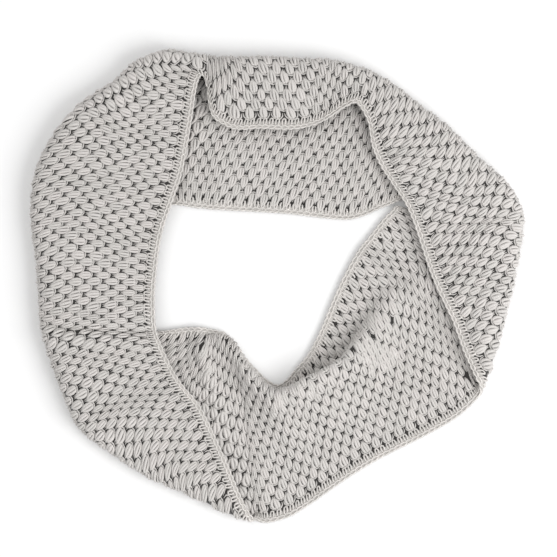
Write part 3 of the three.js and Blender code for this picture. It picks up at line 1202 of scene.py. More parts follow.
    def lay(
        self,
        name: str,
        points: np.ndarray,
        shapes: list[Piece],
        cloth: Cloth,
        wool: Material,
        variation: Variation,
    ) -> Piece:
        """Lay stitches on the cloth and keep them as a plain mesh.

        Args:
            name: Name of the finished piece.
            points: Places of the stitches in the flat pattern, in millimetres.
            shapes: Three objects that the stitches are picked from.
            cloth: The carrying surface.
            wool: The stitches' material.
            variation: How much the stitches differ.

        Returns:
            The finished piece.
        """
        mesh = bpy.data.meshes.new(name + "_points")
        flat = np.concatenate([points, np.zeros((len(points), 1))], axis=1)
        mesh.from_pydata(flat.tolist(), [], [])
        holder = placed(name + "_points", mesh)
        modifier = holder.modifiers.new("stitches", "NODES")
        modifier.node_group = self.tree
        values = {
            "First shape": shapes[0],
            "Second shape": shapes[1],
            "Third shape": shapes[2],
            "Cloth": cloth.thing,
            "Corner": (*cloth.corner, 0.0),
            "Span": (*cloth.span, 1.0),
            "Size spread": variation.size,
            "Turn spread": variation.turn,
            "Relief": MM,
            "Seed": variation.seed,
            "Wool": wool,
        }
        for item in self.tree.interface.items_tree:
            if item.in_out == "INPUT" and item.name in values:
                modifier[item.identifier] = values[item.name]
        graph = bpy.context.evaluated_depsgraph_get()
        made = bpy.data.meshes.new_from_object(holder.evaluated_get(graph))
        made.name = name
        made.shade_smooth()
        bpy.data.objects.remove(holder)
        return placed(name, made)


@dataclass(frozen=True)
class Variation:
    """How laid stitches differ: a seed, a share of their size, and an angle in radians."""

    seed: int
    size: float = 0.06
    turn: float = 0.1


@dataclass
class Cloth:
    """One side of the cloth unrolled: a surface that carries stitches, and its flat pattern."""

    form: ScarfForm
    rim: Rim
    side: Side
    spacing: np.ndarray
    pulls: tuple[Pull, ...] = (Pull(0.0, 1.0, 0.0, 1.0),)
    first: float = 0.0
    middle: float = 0.0
    start: float = 0.0
    slant_end: float = 300.0
    bend_from: float = 78.0
    bend_reach: float = 55.0
    overlap: float = 40.0
    passes: int = 8
    thing: Piece = field(init=False)
    corner: tuple[float, float] = field(init=False)
    span: tuple[float, float] = field(init=False)
    cloth_grid: ClothGrid = field(init=False)
    slant: np.ndarray = field(init=False)
    bend: np.ndarray = field(init=False)
    rows: np.ndarray = field(init=False)
    cumulative: np.ndarray = field(init=False)
    total: float = field(init=False)

    def __post_init__(self) -> None:
        """Build the carrying surface with its pattern coordinates."""
        self.cloth_grid = self.form.grid(self.rim)
        self.slant = self.form.pulled(self.pulls, "slant")
        self.bend = self.form.pulled(self.pulls, "bend")
        self.rows = self.form.pulled(self.pulls, "rows")
        self.cumulative = np.concatenate([[0.0], np.cumsum(self.spacing)]) + self.start
        self.total = float(self.cumulative[-1] - self.cumulative[0])
        extra = int(self.overlap / (self.total / self.form.stations))
        stations = np.arange(-extra, self.form.stations + extra + 1)
        x, y = self._pattern_at(stations)
        self.corner = (float(x.min()), float(y.min()))
        self.span = (float(np.ptp(x)), float(np.ptp(y)))
        self.thing = self._carrier(stations, x, y)

    @property
    def mirror(self) -> int:
        """Sign of the pattern's x as the ring is followed clockwise."""
        return self.side.value

    @property
    def count_sign(self) -> int:
        """Sign of the pattern's y as distance from the rim grows."""
        return 1 if self.rim is Rim.UPPER else -1

    def length_at(self, stations: np.ndarray) -> np.ndarray:
        """Pattern length round the ring at stations that may lie between whole ones.

        Args:
            stations: Stations round the ring.

        Returns:
            One length for each station.
        """
        count = self.form.stations
        laps = np.floor(stations / count)
        inside = stations - laps * count
        return np.interp(inside, np.arange(count + 1), self.cumulative) + laps * self.total

    def _pattern_at(self, stations: np.ndarray) -> tuple[np.ndarray, np.ndarray]:
        """Pattern x and y of the grid's points.

        Args:
            stations: Whole stations, past both ends of the ring.

        Returns:
            Both coordinates, one row for each station.
        """
        index = stations % self.form.stations
        distances = self.cloth_grid.distances[None, :]
        rows = self.rows[index][:, None]
        x = self.mirror * (self.length_at(stations)[:, None] + self._slip(index[:, None], distances))
        y = self.count_sign * (self.first + rows * (distances - self.first))
        return x, y

    def place_of(self, x: np.ndarray, y: np.ndarray) -> tuple[np.ndarray, np.ndarray]:
        """Stations and distances from the rim at given pattern places.

        Args:
            x: Pattern x of each place.
            y: Pattern y of each place.

        Returns:
            The station and the distance of each place.
        """
        station = self._station_at(x * self.mirror)
        distance = np.abs(y)
        for _ in range(self.passes):
            index = np.round(station).astype(int) % self.form.stations
            distance = self.first + (np.abs(y) - self.first) / self.rows[index]
            station = self._station_at(x * self.mirror - self._slip(index, distance))
        return station, distance

    def _slip(self, index: np.ndarray, distances: np.ndarray) -> np.ndarray:
        """How far the pattern has slipped along the ring at each distance.

        Args:
            index: Whole stations round the ring.
            distances: Distances from the rim.

        Returns:
            One pattern length for each pair.
        """
        slanted = np.minimum(distances, self.slant_end) - self.middle
        bent = np.maximum(distances - self.bend_from, 0.0) ** 2 / (2 * self.bend_reach)
        return self.slant[index] * slanted + self.bend[index] * bent

    def _station_at(self, length: np.ndarray) -> np.ndarray:
        """Stations at given pattern lengths.

        Args:
            length: Pattern lengths round the ring.

        Returns:
            One station for each length.
        """
        laps = np.floor((length - self.start) / self.total)
        inside = length - laps * self.total
        at = np.interp(inside, self.cumulative, np.arange(self.form.stations + 1))
        return at + laps * self.form.stations

    def _carrier(self, stations: np.ndarray, x: np.ndarray, y: np.ndarray) -> Piece:
        """The carrying surface as a Blender object.

        Args:
            stations: Stations of its rows, past both ends of the ring.
            x: Pattern x of each point.
            y: Pattern y of each point.

        Returns:
            The object, with its outside direction and pattern stored.
        """
        index = stations % self.form.stations
        points = self.cloth_grid.points[index] * MM
        facing = self.cloth_grid.facing[index] * self.side.value
        rows, columns = points.shape[:2]
        ids = np.arange(rows * columns).reshape(rows, columns)
        corners = (ids[:-1, :-1], ids[1:, :-1], ids[1:, 1:], ids[:-1, 1:])
        faces = np.stack(corners, axis=-1).reshape(-1, 4)
        mesh = bpy.data.meshes.new("carrier")
        mesh.from_pydata(points.reshape(-1, 3).tolist(), [], faces.tolist())
        stored = mesh.attributes.new("facing", "FLOAT_VECTOR", "POINT")
        stored.data.foreach_set("vector", facing.astype(np.float32).ravel())
        flat_x = (x - self.corner[0]) / self.span[0]
        flat_y = (y - self.corner[1]) / self.span[1]
        pattern = np.stack([flat_x, flat_y], axis=-1).reshape(-1, 2)
        layer = mesh.uv_layers.new(name="pattern")
        layer.data.foreach_set("uv", pattern[faces.ravel()].astype(np.float32).ravel())
        mesh.update()
        return placed("carrier", mesh)


@dataclass(frozen=True)
class WoolFinish:
    """A finish of soft matt crocheted wool."""

    name: str
    colour: tuple[float, float, float]
    # Share of the colour that painted shade takes away where its mask is full.
    painted_shade_strength: float
    fuzz: float = 0.35
    roughness: float = 0.92
    sheen: float = 0.25
    sheen_roughness: float = 0.6
    specular: float = 0.25
    relief: float = 0.6
    relief_depth: float = 0.0006


@dataclass(frozen=True)
class YarnSurface:
    """The shared shader group of yarn: its uneven colour and its twisted, hairy surface.

    A pair holds how much brighter a mask of one makes the yarn, and its brightness at zero.
    """

    fibre_scale: float = 1400.0
    fibre_detail: float = 3.0
    patch_scale: float = 55.0
    plies: float = 3.0
    twist: float = 0.42
    tint: tuple[float, float] = (0.06, 0.97)
    patch: tuple[float, float] = (0.14, 0.93)
    fibre: tuple[float, float] = (0.16, 0.92)
    red: tuple[float, float] = (0.008, 0.996)
    green: tuple[float, float] = (-0.006, 1.003)

    def build(self) -> bpy.types.NodeTree:
        """Build the group.

        Returns:
            The node group, with a colour and a height as its outputs.
        """
        group = bpy.data.node_groups.new("YarnSurface", "ShaderNodeTree")
        self._add_sockets(group)
        canvas = NodeCanvas(group)
        given = canvas.add("NodeGroupInput").outputs
        out = canvas.add("NodeGroupOutput").inputs
        fibres = self._noise(canvas, self.fibre_scale, self.fibre_detail)
        patches = self._noise(canvas, self.patch_scale)
        fuzzy = canvas.maths("MULTIPLY", fibres, given["Fuzz"])
        twisted = canvas.maths("MULTIPLY", self._plies(canvas), given["Twist"])
        canvas.link(canvas.maths("ADD", twisted, fuzzy), out["Height"])
        shift = canvas.maths("MULTIPLY_ADD", given["Tint"], *self.tint)
        cloud = canvas.maths("MULTIPLY_ADD", patches, *self.patch)
        speck = canvas.maths("MULTIPLY_ADD", fibres, *self.fibre)
        bright = canvas.maths("MULTIPLY", canvas.maths("MULTIPLY", shift, cloud), speck)
        canvas.link(self._toned(canvas, given, bright), out["Colour"])
        return group

    def _add_sockets(self, group: bpy.types.NodeTree) -> None:
        """Give the group its named inputs and outputs.

        Args:
            group: The new node group.
        """
        for name, kind, value in (
            ("Colour", "NodeSocketColor", (0.6, 0.6, 0.6, 1.0)),
            ("Tint", "NodeSocketFloat", 0.5),
            ("Twist", "NodeSocketFloat", 0.5),
            ("Fuzz", "NodeSocketFloat", 0.5),
        ):
            socket = group.interface.new_socket(name, in_out="INPUT", socket_type=kind)
            socket.default_value = value
        group.interface.new_socket("Colour", in_out="OUTPUT", socket_type="NodeSocketColor")
        group.interface.new_socket("Height", in_out="OUTPUT", socket_type="NodeSocketFloat")

    def _noise(self, canvas: NodeCanvas, scale: float, detail: float | None = None) -> Socket:
        """A mask of noise at a given scale.

        Args:
            canvas: The group's canvas.
            scale: Scale of the noise.
            detail: Its detail, or nothing for the usual one.

        Returns:
            The noise's output.
        """
        noise = canvas.add("ShaderNodeTexNoise")
        noise.inputs["Scale"].default_value = scale
        canvas.feed(noise.inputs["Detail"], detail)
        place = canvas.add("ShaderNodeTexCoord").outputs["Object"]
        canvas.link(place, noise.inputs["Vector"])
        return noise.outputs[0]

    def _plies(self, canvas: NodeCanvas) -> Socket:
        """The height of the plies that twist round a strand.

        Args:
            canvas: The group's canvas.

        Returns:
            The height's output, from 0 to 1.
        """
        strand = canvas.add("ShaderNodeUVMap", uv_map="strand").outputs[0]
        parts = canvas.add("ShaderNodeSeparateXYZ")
        canvas.link(strand, parts.inputs[0])
        around = canvas.maths("MULTIPLY", parts.outputs["Y"], self.plies)
        along = canvas.maths("MULTIPLY", parts.outputs["X"], self.twist)
        half_turns = canvas.maths("MULTIPLY", canvas.maths("ADD", around, along), math.pi)
        return canvas.maths("ABSOLUTE", canvas.maths("SINE", half_turns))

    def _toned(self, canvas: NodeCanvas, given: bpy.types.NodeOutputs, bright: Socket) -> Socket:
        """The yarn's colour, brighter or darker and a little warmer or cooler.

        Args:
            canvas: The group's canvas.
            given: The group's inputs.
            bright: How bright the yarn is.

        Returns:
            The colour's output.
        """
        grey = canvas.add("ShaderNodeCombineColor")
        for k, (share, least) in enumerate((self.red, self.green)):
            warmth = canvas.maths("MULTIPLY_ADD", given["Tint"], share, least)
            canvas.link(canvas.maths("MULTIPLY", bright, warmth), grey.inputs[k])
        canvas.link(bright, grey.inputs[2])
        toned = canvas.add("ShaderNodeMix", data_type="RGBA", blend_type="MULTIPLY")
        toned.inputs["Factor"].default_value = 1.0
        canvas.link(given["Colour"], toned.inputs["A"])
        canvas.link(grey.outputs[0], toned.inputs["B"])
        return toned.outputs["Result"]


@dataclass
class WoolMaterials:
    """Builds a material for each finish on the yarn's shader group."""

    group: bpy.types.NodeTree

    def build(self, finish: WoolFinish) -> Material:
        """A material for one finish.

        Args:
            finish: Its colour, fuzz and sheen.

        Returns:
            The material.
        """
        material = bpy.data.materials.new(finish.name)
        material.use_nodes = True
        canvas = NodeCanvas(material.node_tree)
        shader = material.node_tree.nodes["Principled BSDF"]
        yarn = canvas.add("ShaderNodeGroup", node_tree=self.group)
        yarn.inputs["Colour"].default_value = (*finish.colour, 1.0)
        yarn.inputs["Fuzz"].default_value = finish.fuzz
        tint = canvas.add("ShaderNodeAttribute", attribute_name="tint")
        canvas.link(tint.outputs["Fac"], yarn.inputs["Tint"])
        # Painted shade: the colour is darkened by the stored mask times the finish's share.
        gap = canvas.add("ShaderNodeAttribute", attribute_name="gap")
        painted_shade_loss = canvas.maths("MULTIPLY", gap.outputs["Fac"], finish.painted_shade_strength)
        shade = canvas.maths("SUBTRACT", 1.0, painted_shade_loss)
        painted_shade_colour = canvas.vectors("SCALE", yarn.outputs["Colour"], scale=shade)
        canvas.link(painted_shade_colour, shader.inputs["Base Color"])
        bump = canvas.add("ShaderNodeBump")
        bump.inputs["Strength"].default_value = finish.relief
        bump.inputs["Distance"].default_value = finish.relief_depth
        canvas.link(yarn.outputs["Height"], bump.inputs["Height"])
        canvas.link(bump.outputs[0], shader.inputs["Normal"])
        shader.inputs["Roughness"].default_value = finish.roughness
        shader.inputs["Sheen Weight"].default_value = finish.sheen
        shader.inputs["Sheen Roughness"].default_value = finish.sheen_roughness
        shader.inputs["Specular IOR Level"].default_value = finish.specular
        return material


def ring_of_loops(
    name: str, loops: np.ndarray, material: Material, gap: np.ndarray | float = 1.0
) -> Piece:
    """A closed ring whose sections are closed loops.

    Args:
        name: Name of the piece.
        loops: Points in millimetres, one row for each section.
        material: The piece's material.
        gap: How strongly painted shade darkens each point, for the shade that falls between the
            stitches, from 0 to 1.

    Returns:
        The finished piece.
    """
    rows, columns = loops.shape[:2]
    ids = np.arange(rows * columns).reshape(rows, columns)
    ahead = np.roll(ids, -1, axis=0)
    aside = np.roll(ids, -1, axis=1)
    both = np.roll(ahead, -1, axis=1)
    faces = np.stack([ids, ahead, both, aside], axis=-1).reshape(-1, 4)
    mesh = bpy.data.meshes.new(name)
    mesh.from_pydata((loops.reshape(-1, 3) * MM).tolist(), [], faces.tolist())
    # The painted shade mask is stored on each point.
    layer = mesh.attributes.new("gap", "FLOAT", "POINT")
    depth = np.broadcast_to(gap, (rows, columns))
    layer.data.foreach_set("value", depth.astype(np.float32).ravel())
    mesh.materials.append(material)
    mesh.shade_smooth()
    mesh.update()
    return placed(name, mesh)


@dataclass
class BandCloth:
    """The band itself: a thin closed shell that lies between and under the stitches.

    Painted shade darkens its colour between the stitches, except where it turns under or comes close
    to the surface.
    """

    form: ScarfForm
    skin: float = 1.0
    edging: float = 8.0
    seam: float = 0.3
    bare: float = 6.0
    under: float = -0.6
    under_fade: float = 3.0
    steps: int = 80
    every: int = 2

    def build(self, material: Material) -> Piece:
        """Build the shell.

        Args:
            material: Its wool.

        Returns:
            The finished piece.
        """
        grid = self.form.grid(Rim.UPPER)
        stations = np.arange(0, self.form.stations, self.every)
        middle, facing = grid.sections(stations, self._distances(stations))
        down = np.clip(-facing[..., 2], 0, 1)
        outer = self.skin + (self.form.wall / 2 - self.skin) * down**2
        outside = middle + facing * outer[..., None]
        inside = middle - facing * self.skin
        outside[..., 2] = np.maximum(outside[..., 2], 0)
        inside[..., 2] = np.maximum(inside[..., 2], 0)
        loops = np.concatenate([outside, inside[:, ::-1]], axis=1)
        # Painted shade on the outside fades out where the cloth faces down or lies low by the floor;
        # the inside takes it in full.
        painted_shade_outside = np.clip((facing[..., 2] - self.under) * self.under_fade, 0, 1)
        painted_shade_outside *= np.clip((outside[..., 2] - self.bare) / self.bare, 0, 1)
        gap = np.concatenate([painted_shade_outside, np.ones_like(painted_shade_outside)], axis=1)
        return ring_of_loops("cloth", loops, material, gap)

    def _distances(self, stations: np.ndarray) -> np.ndarray:
        """Distances from the upper rim at which each section is built.

        Args:
            stations: Stations of the sections.

        Returns:
            One row for each station.
        """
        inset = self.edging + self.seam
        share = np.linspace(0, 1, self.steps + 1)
        return inset + (self.form.widths[stations] - 2 * inset)[:, None] * share


@dataclass
class RimStrip:
    """The body of an edging: a rounded strip along one rim, under its chain.

    Its profile gives distances from the rim and heights as shares of the skin.
    """

    form: ScarfForm
    rim: Rim
    skin: float = 1.7
    profile: tuple[tuple[float, float], ...] = (
        (8.0, 0.55), (5.6, 0.8), (3.2, 0.95), (1.2, 0.85), (0.6, 0.5),
    )
    every: int = 2

    def build(self, name: str, material: Material) -> Piece:
        """Build the strip.

        Args:
            name: Name of the piece.
            material: Its wool.

        Returns:
            The finished piece.
        """
        grid = self.form.grid(self.rim)
        stations = np.arange(0, self.form.stations, self.every)
        across, heights = np.array(self.profile).T
        distances = np.concatenate([across, [0.0], across[::-1]])
        rises = np.concatenate([heights, [0.0], -heights[::-1]]) * self.skin
        if self.rim is Rim.UPPER:
            distances = distances[::-1]
            rises = -rises[::-1]
        middle, facing = grid.sections(stations, np.tile(distances, (len(stations), 1)))
        loops = middle + facing * rises[None, :, None]
        loops[..., 2] = np.maximum(loops[..., 2], 0)
        # The whole strip takes the painted shade mask in full, for the shade between its loops.
        return ring_of_loops(name, loops, material)


@dataclass
class StitchRows:
    """The rows of bean stitches on the band, and which of them show.

    The outside carries none below the resting height. The inside carries none that lie both
    farther under the upper layer and lower than the two hidden measures say.
    """

    form: ScarfForm
    pitch: float = 12.4
    row: float = 8.9
    shear: float = 0.40
    first_upper: float = 17.6
    first_lower: float = 12.2
    hidden: float = 26.0
    hidden_height: float = 14.0
    resting_height: float = 6.5
    least_turn: float = 30.0
    under_outside: float = -0.75
    under_inside: float = -0.35
    behind: float = 20.0
    last_gap: float = 0.25
    meeting_rows: float = 1.5
    closest: float = 5.4
    squeezed: float = 5.1
    join: int = 8
    fill: float = 40.0
    laid: list[np.ndarray] = field(default_factory=list)
    corner: int = field(init=False)
    last_at_corner: int = field(init=False)
    is_open: np.ndarray = field(init=False)

    def __post_init__(self) -> None:
        """Fit the rows of both rims to each other at the corner."""
        form = self.form
        self.corner = int(np.searchsorted(form.here, form.places[CORNER_SECTION]))
        pressed = form.pulled(OPEN_PULLS, "rows")[self.corner]
        between = (form.widths[self.corner] - self.first_upper - self.first_lower) * pressed
        self.last_at_corner = round(between / self.row)
        self.row = between / self.last_at_corner
        self.is_open = form.at["turn"] < 90

    def fitted(self, spacing: np.ndarray) -> np.ndarray:
        """The same lengths scaled so that a whole number of stitches goes round."""
        count = round(spacing.sum() / self.pitch)
        return spacing * (count * self.pitch / spacing.sum())

    def first(self, rim: Rim) -> float:
        """Distance from a rim to the middle of its first row."""
        return self.first_upper if rim is Rim.UPPER else self.first_lower

    def lower_end(self) -> np.ndarray:
        """Distance from the lower rim to where the rows counted from it end.

        Returns:
            One distance for each station.
        """
        knee = self.knee_distance()
        steep = self.form.steepness(self.form.at["ridge"])
        behind = self.behind * self.form.clearance(knee) * (1 - steep)
        return knee + self.row / 2 + behind

    def knee_distance(self) -> np.ndarray:
        """Distance from the lower rim to the knee at each station."""
        at = self.form.at
        return np.hypot(at["low_x"] - at["knee_x"], at["low_y"] - at["knee_y"])

    def lattice(self, cloth: Cloth, first: float, last: float, phase: float = 0.0) -> np.ndarray:
        """Places of the stitches on one side of the cloth.

        Args:
            cloth: The side that they stand on.
            first: Pattern length at which they begin.
            last: Pattern length at which they end.
            phase: Share of a pitch by which all rows are moved.

        Returns:
            Pattern x and y, distance from the rim and station of each stitch.
        """
        found = []
        whole_round = last - first >= cloth.total
        end = last if whole_round else last - self.last_gap * self.pitch
        steps = np.arange(int((last - first) / self.pitch) + 1)
        for k in range(int(self.form.widths.max() / self.row)):
            offset = (self.shear * k * cloth.count_sign + phase) % 1.0
            lengths = first + (steps + offset) * self.pitch
            lengths = lengths[lengths < end]
            x = cloth.mirror * lengths
            y = np.full(len(x), cloth.count_sign * (self.first(cloth.rim) + k * self.row))
            station, distance = cloth.place_of(x, y)
            found.append(np.stack([x, y, distance, station], axis=1))
        return np.concatenate(found)

    def shown(self, cloth: Cloth, stitches: np.ndarray, beyond: float = 0.0) -> np.ndarray:
        """Which stitches can be seen from above or from the sides.

        Args:
            cloth: The side that they stand on.
            stitches: What lattice gives.
            beyond: How far past their end the rows counted from the lower rim fill up gaps.

        Returns:
            True for each stitch that is kept.
        """
        distance, station = stitches[:, 2], stitches[:, 3]
        whole = np.round(station).astype(int) % self.form.stations
        place = cloth.cloth_grid.read(cloth.cloth_grid.points, station, distance)
        facing = cloth.cloth_grid.read(cloth.cloth_grid.facing, station, distance)[:, 2]
        facing = facing * cloth.side.value
        far = Rim.LOWER if cloth.rim is Rim.UPPER else Rim.UPPER
        keep = distance < self.form.widths[whole] - self.first(far) + self.row / 2
        if cloth.side is Side.OUTSIDE:
            keep &= (place[:, 2] > self.resting_height) & (facing > self.under_outside)
            return keep & (self.form.at["turn"][whole] > self.least_turn)
        keep &= ~self._covered(whole, place) & (facing > self.under_inside)
        keep &= self._in_own_rows(cloth, whole, distance, beyond)
        if cloth.rim is Rim.UPPER or beyond > 0:
            closest = self.squeezed if beyond > 0 else self.closest
            keep[keep] &= self._clear_of_neighbours(place[keep], closest)
        self.laid.append(place[keep])
        return keep

    def _covered(self, whole: np.ndarray, place: np.ndarray) -> np.ndarray:
        """Which places of the inside lie too far under the upper layer to be seen.

        Args:
            whole: The nearest station of each place.
            place: The places in millimetres.

        Returns:
            True for each place that is hidden.
        """
        at = self.form.at
        rim = np.stack([at["rim_x"], at["rim_y"]], axis=1)[whole]
        fold = np.stack([at["fold_x"], at["fold_y"]], axis=1)[whole]
        under = np.sum((place[:, :2] - rim) * unit(fold - rim), axis=1)
        low = place[:, 2] < self.hidden_height
        return ~self.is_open[whole] & (under > self.hidden) & low

    def _in_own_rows(
        self, cloth: Cloth, whole: np.ndarray, distance: np.ndarray, beyond: float
    ) -> np.ndarray:
        """Which stitches of the inside lie where the rows of their own rim reach.

        Args:
            cloth: The side that they stand on.
            whole: The nearest station of each stitch.
            distance: Each stitch's distance from the rim.
            beyond: How far past their end the rows counted from the lower rim fill up gaps.

        Returns:
            True for each stitch within reach.
        """
        width = self.form.widths[whole]
        from_low = distance if cloth.rim is Rim.LOWER else width - distance
        end = self.lower_end()[whole]
        after_join = whole > self.corner - self.join
        if cloth.rim is Rim.UPPER:
            return after_join & (from_low > end - self.meeting_rows * self.row)
        if beyond > 0:
            return after_join & (from_low > end) & (from_low < end + beyond)
        return (whole < self.corner) | (from_low < end)

    def _clear_of_neighbours(self, places: np.ndarray, closest: float) -> np.ndarray:
        """Which places are at least a given way from the inside's stitches laid so far."""
        gaps = np.linalg.norm(places[:, None, :] - np.concatenate(self.laid), axis=2)
        return gaps.min(axis=1) > closest


@dataclass(frozen=True)
class RowPlan:
    """A run of rows: its cloth, where it begins and ends, its shift, and how far it fills up."""

    name: str
    cloth: Cloth
    first: float
    last: float
    phase: float = 0.0
    beyond: float = 0.0


@dataclass
class BandPlan:
    """Both sides of the band unrolled, with the runs of rows on them."""

    form: ScarfForm
    rows: StitchRows
    outside_near: float = 30.0
    outside_share: float = 0.45
    outside_far: float = 110.0
    outside_middle: float = 55.0
    outside_slant_end: float = 85.0
    lower_far: float = 70.0
    lower_middle: float = 35.0
    open_margin: float = 20.0
    open_least: float = 40.0
    open_middle: float = 45.0
    change_from: float = 30.0
    change_over: float = 100.0
    lead: int = 6

    def runs(self) -> tuple[RowPlan, ...]:
        """All runs of rows, in the order in which they are laid.

        Returns:
            The outside, the inside from the lower rim, the inside from the upper rim, and the
            stitches that fill up between the last two.
        """
        outside = self._outside()
        low = self._inside_lower()
        up = self._inside_upper(low)
        phase = self.rows.shear * self.rows.last_at_corner
        begin = low.cumulative[self.rows.corner] - self.lead * self.rows.pitch
        begin = math.floor(begin / self.rows.pitch) * self.rows.pitch
        return (
            RowPlan("outside", outside, 0.0, outside.total),
            RowPlan("inside_lower", low, 0.0, low.total, phase),
            RowPlan("inside_upper", up, begin, float(up.cumulative[-1])),
            RowPlan("inside_between", low, 0.0, low.total, phase, self.rows.fill),
        )

    def _outside(self) -> Cloth:
        """The outside, counted from the upper rim.

        Returns:
            The unrolled side.
        """
        far = np.minimum(self.form.widths * self.outside_share, self.outside_far)
        spacing = self._pulled_run(Rim.UPPER, self.outside_near, far, OUTSIDE_PULLS)
        return Cloth(
            self.form,
            Rim.UPPER,
            Side.OUTSIDE,
            self.rows.fitted(spacing),
            OUTSIDE_PULLS,
            first=self.rows.first_upper,
            middle=self.outside_middle,
            slant_end=self.outside_slant_end,
        )

    def _inside_lower(self) -> Cloth:
        """The inside, counted from the lower rim.

        Returns:
            The unrolled side.
        """
        far = np.full(self.form.stations, self.lower_far)
        spacing = self._pulled_run(Rim.LOWER, 0.0, far, LOWER_PULLS)
        return Cloth(
            self.form,
            Rim.LOWER,
            Side.INSIDE,
            self.rows.fitted(spacing),
            LOWER_PULLS,
            first=self.rows.first_lower,
            middle=self.lower_middle,
        )

    def _inside_upper(self, low: Cloth) -> Cloth:
        """The inside across the open bottom, counted from the upper rim.

        Args:
            low: The inside counted from the lower rim, which it agrees with at the corner.

        Returns:
            The unrolled side.
        """
        form = self.form
        corner = self.rows.corner
        far = form.widths - self.rows.knee_distance() - self.open_margin
        far = np.maximum(far, self.open_least)
        own = self._pulled_run(Rim.UPPER, 0.0, far, OPEN_PULLS)
        past_corner = form.here - form.here[corner] - self.change_from
        grow = np.clip(past_corner / self.change_over, 0, 1)
        spacing = low.spacing * (1 - grow) + own * grow
        return Cloth(
            form,
            Rim.UPPER,
            Side.INSIDE,
            spacing,
            OPEN_PULLS,
            first=self.rows.first_upper,
            middle=self.open_middle,
            start=float(low.cumulative[corner] - np.sum(spacing[:corner])),
        )

    def _pulled_run(
        self, rim: Rim, near: float, far: np.ndarray, pulls: tuple[Pull, ...]
    ) -> np.ndarray:
        """Lengths from station to station, stretched by a run of pulls.

        Args:
            rim: The rim that distances are counted from.
            near: Distance of the first line that is measured.
            far: Distance of the second line at each station.
            pulls: Pulls in the order of their sections.

        Returns:
            One length for each station.
        """
        return self.form.run(rim, near, far) * self.form.pulled(pulls, "stretch")


@dataclass
class Studio:
    """The plain floor, the soft light and the camera straight above."""

    picture: float = 0.557
    camera_height: float = 2.5
    sharp_height: float = 0.010
    centre: tuple[float, float] = (0.00114, 0.00941)
    sensor: float = 36.0
    surround: float = 0.58
    floor_size: float = 6.0
    floor_shade: float = 0.9
    floor_roughness: float = 0.9

    def build(self) -> None:
        """Place the camera, the lights and the floor."""
        self._camera()
        self._lights()
        self._floor()

    def _camera(self) -> None:
        """The camera looks straight down with the scarf's +Y at the top of the picture."""
        data = bpy.data.cameras.new("camera")
        data.sensor_width = self.sensor
        data.lens = self.sensor * (self.camera_height - self.sharp_height) / self.picture
        camera = placed("camera", data)
        camera.location = (*self.centre, self.camera_height)
        bpy.context.scene.camera = camera

    def _lights(self) -> None:
        """A wide soft light from the lower right, and pale light from all round."""
        scene = bpy.context.scene
        scene.view_settings.view_transform = "Standard"
        world = bpy.data.worlds.new("studio")
        world.use_nodes = True
        background = world.node_tree.nodes["Background"]
        background.inputs["Color"].default_value = (1.0, 1.0, 1.0, 1.0)
        background.inputs["Strength"].default_value = self.surround
        scene.world = world
        self._add_light("key", place=(1.3, -0.75, 1.5), size=1.6, power=33.0)
        self._add_light("fill", place=(-0.8, 0.8, 2.0), size=2.2, power=14.0)

    def _add_light(
        self, name: str, place: tuple[float, float, float], size: float, power: float
    ) -> None:
        """Add a round light that faces the middle of the scarf.

        Args:
            name: Name of the light.
            place: Where it hangs, in metres.
            size: Its width in metres.
            power: Its power in watts.
        """
        data = bpy.data.lights.new(name, "AREA")
        data.shape = "DISK"
        data.size = size
        data.energy = power
        light = placed(name, data)
        light.location = place
        tilt = math.atan2(math.hypot(place[0], place[1]), place[2])
        light.rotation_euler = (tilt, 0.0, math.atan2(place[0], -place[1]))

    def _floor(self) -> None:
        """A plain pale floor at the height that the scarf lies on."""
        half = self.floor_size / 2
        mesh = bpy.data.meshes.new("floor")
        corners = [(-half, -half, 0), (half, -half, 0), (half, half, 0), (-half, half, 0)]
        mesh.from_pydata(corners, [], [(0, 1, 2, 3)])
        material = bpy.data.materials.new("pale_floor")
        material.use_nodes = True
        shader = material.node_tree.nodes["Principled BSDF"]
        shader.inputs["Base Color"].default_value = (*[self.floor_shade] * 3, 1.0)
        shader.inputs["Roughness"].default_value = self.floor_roughness
        mesh.materials.append(material)
        floor = placed("floor", mesh)


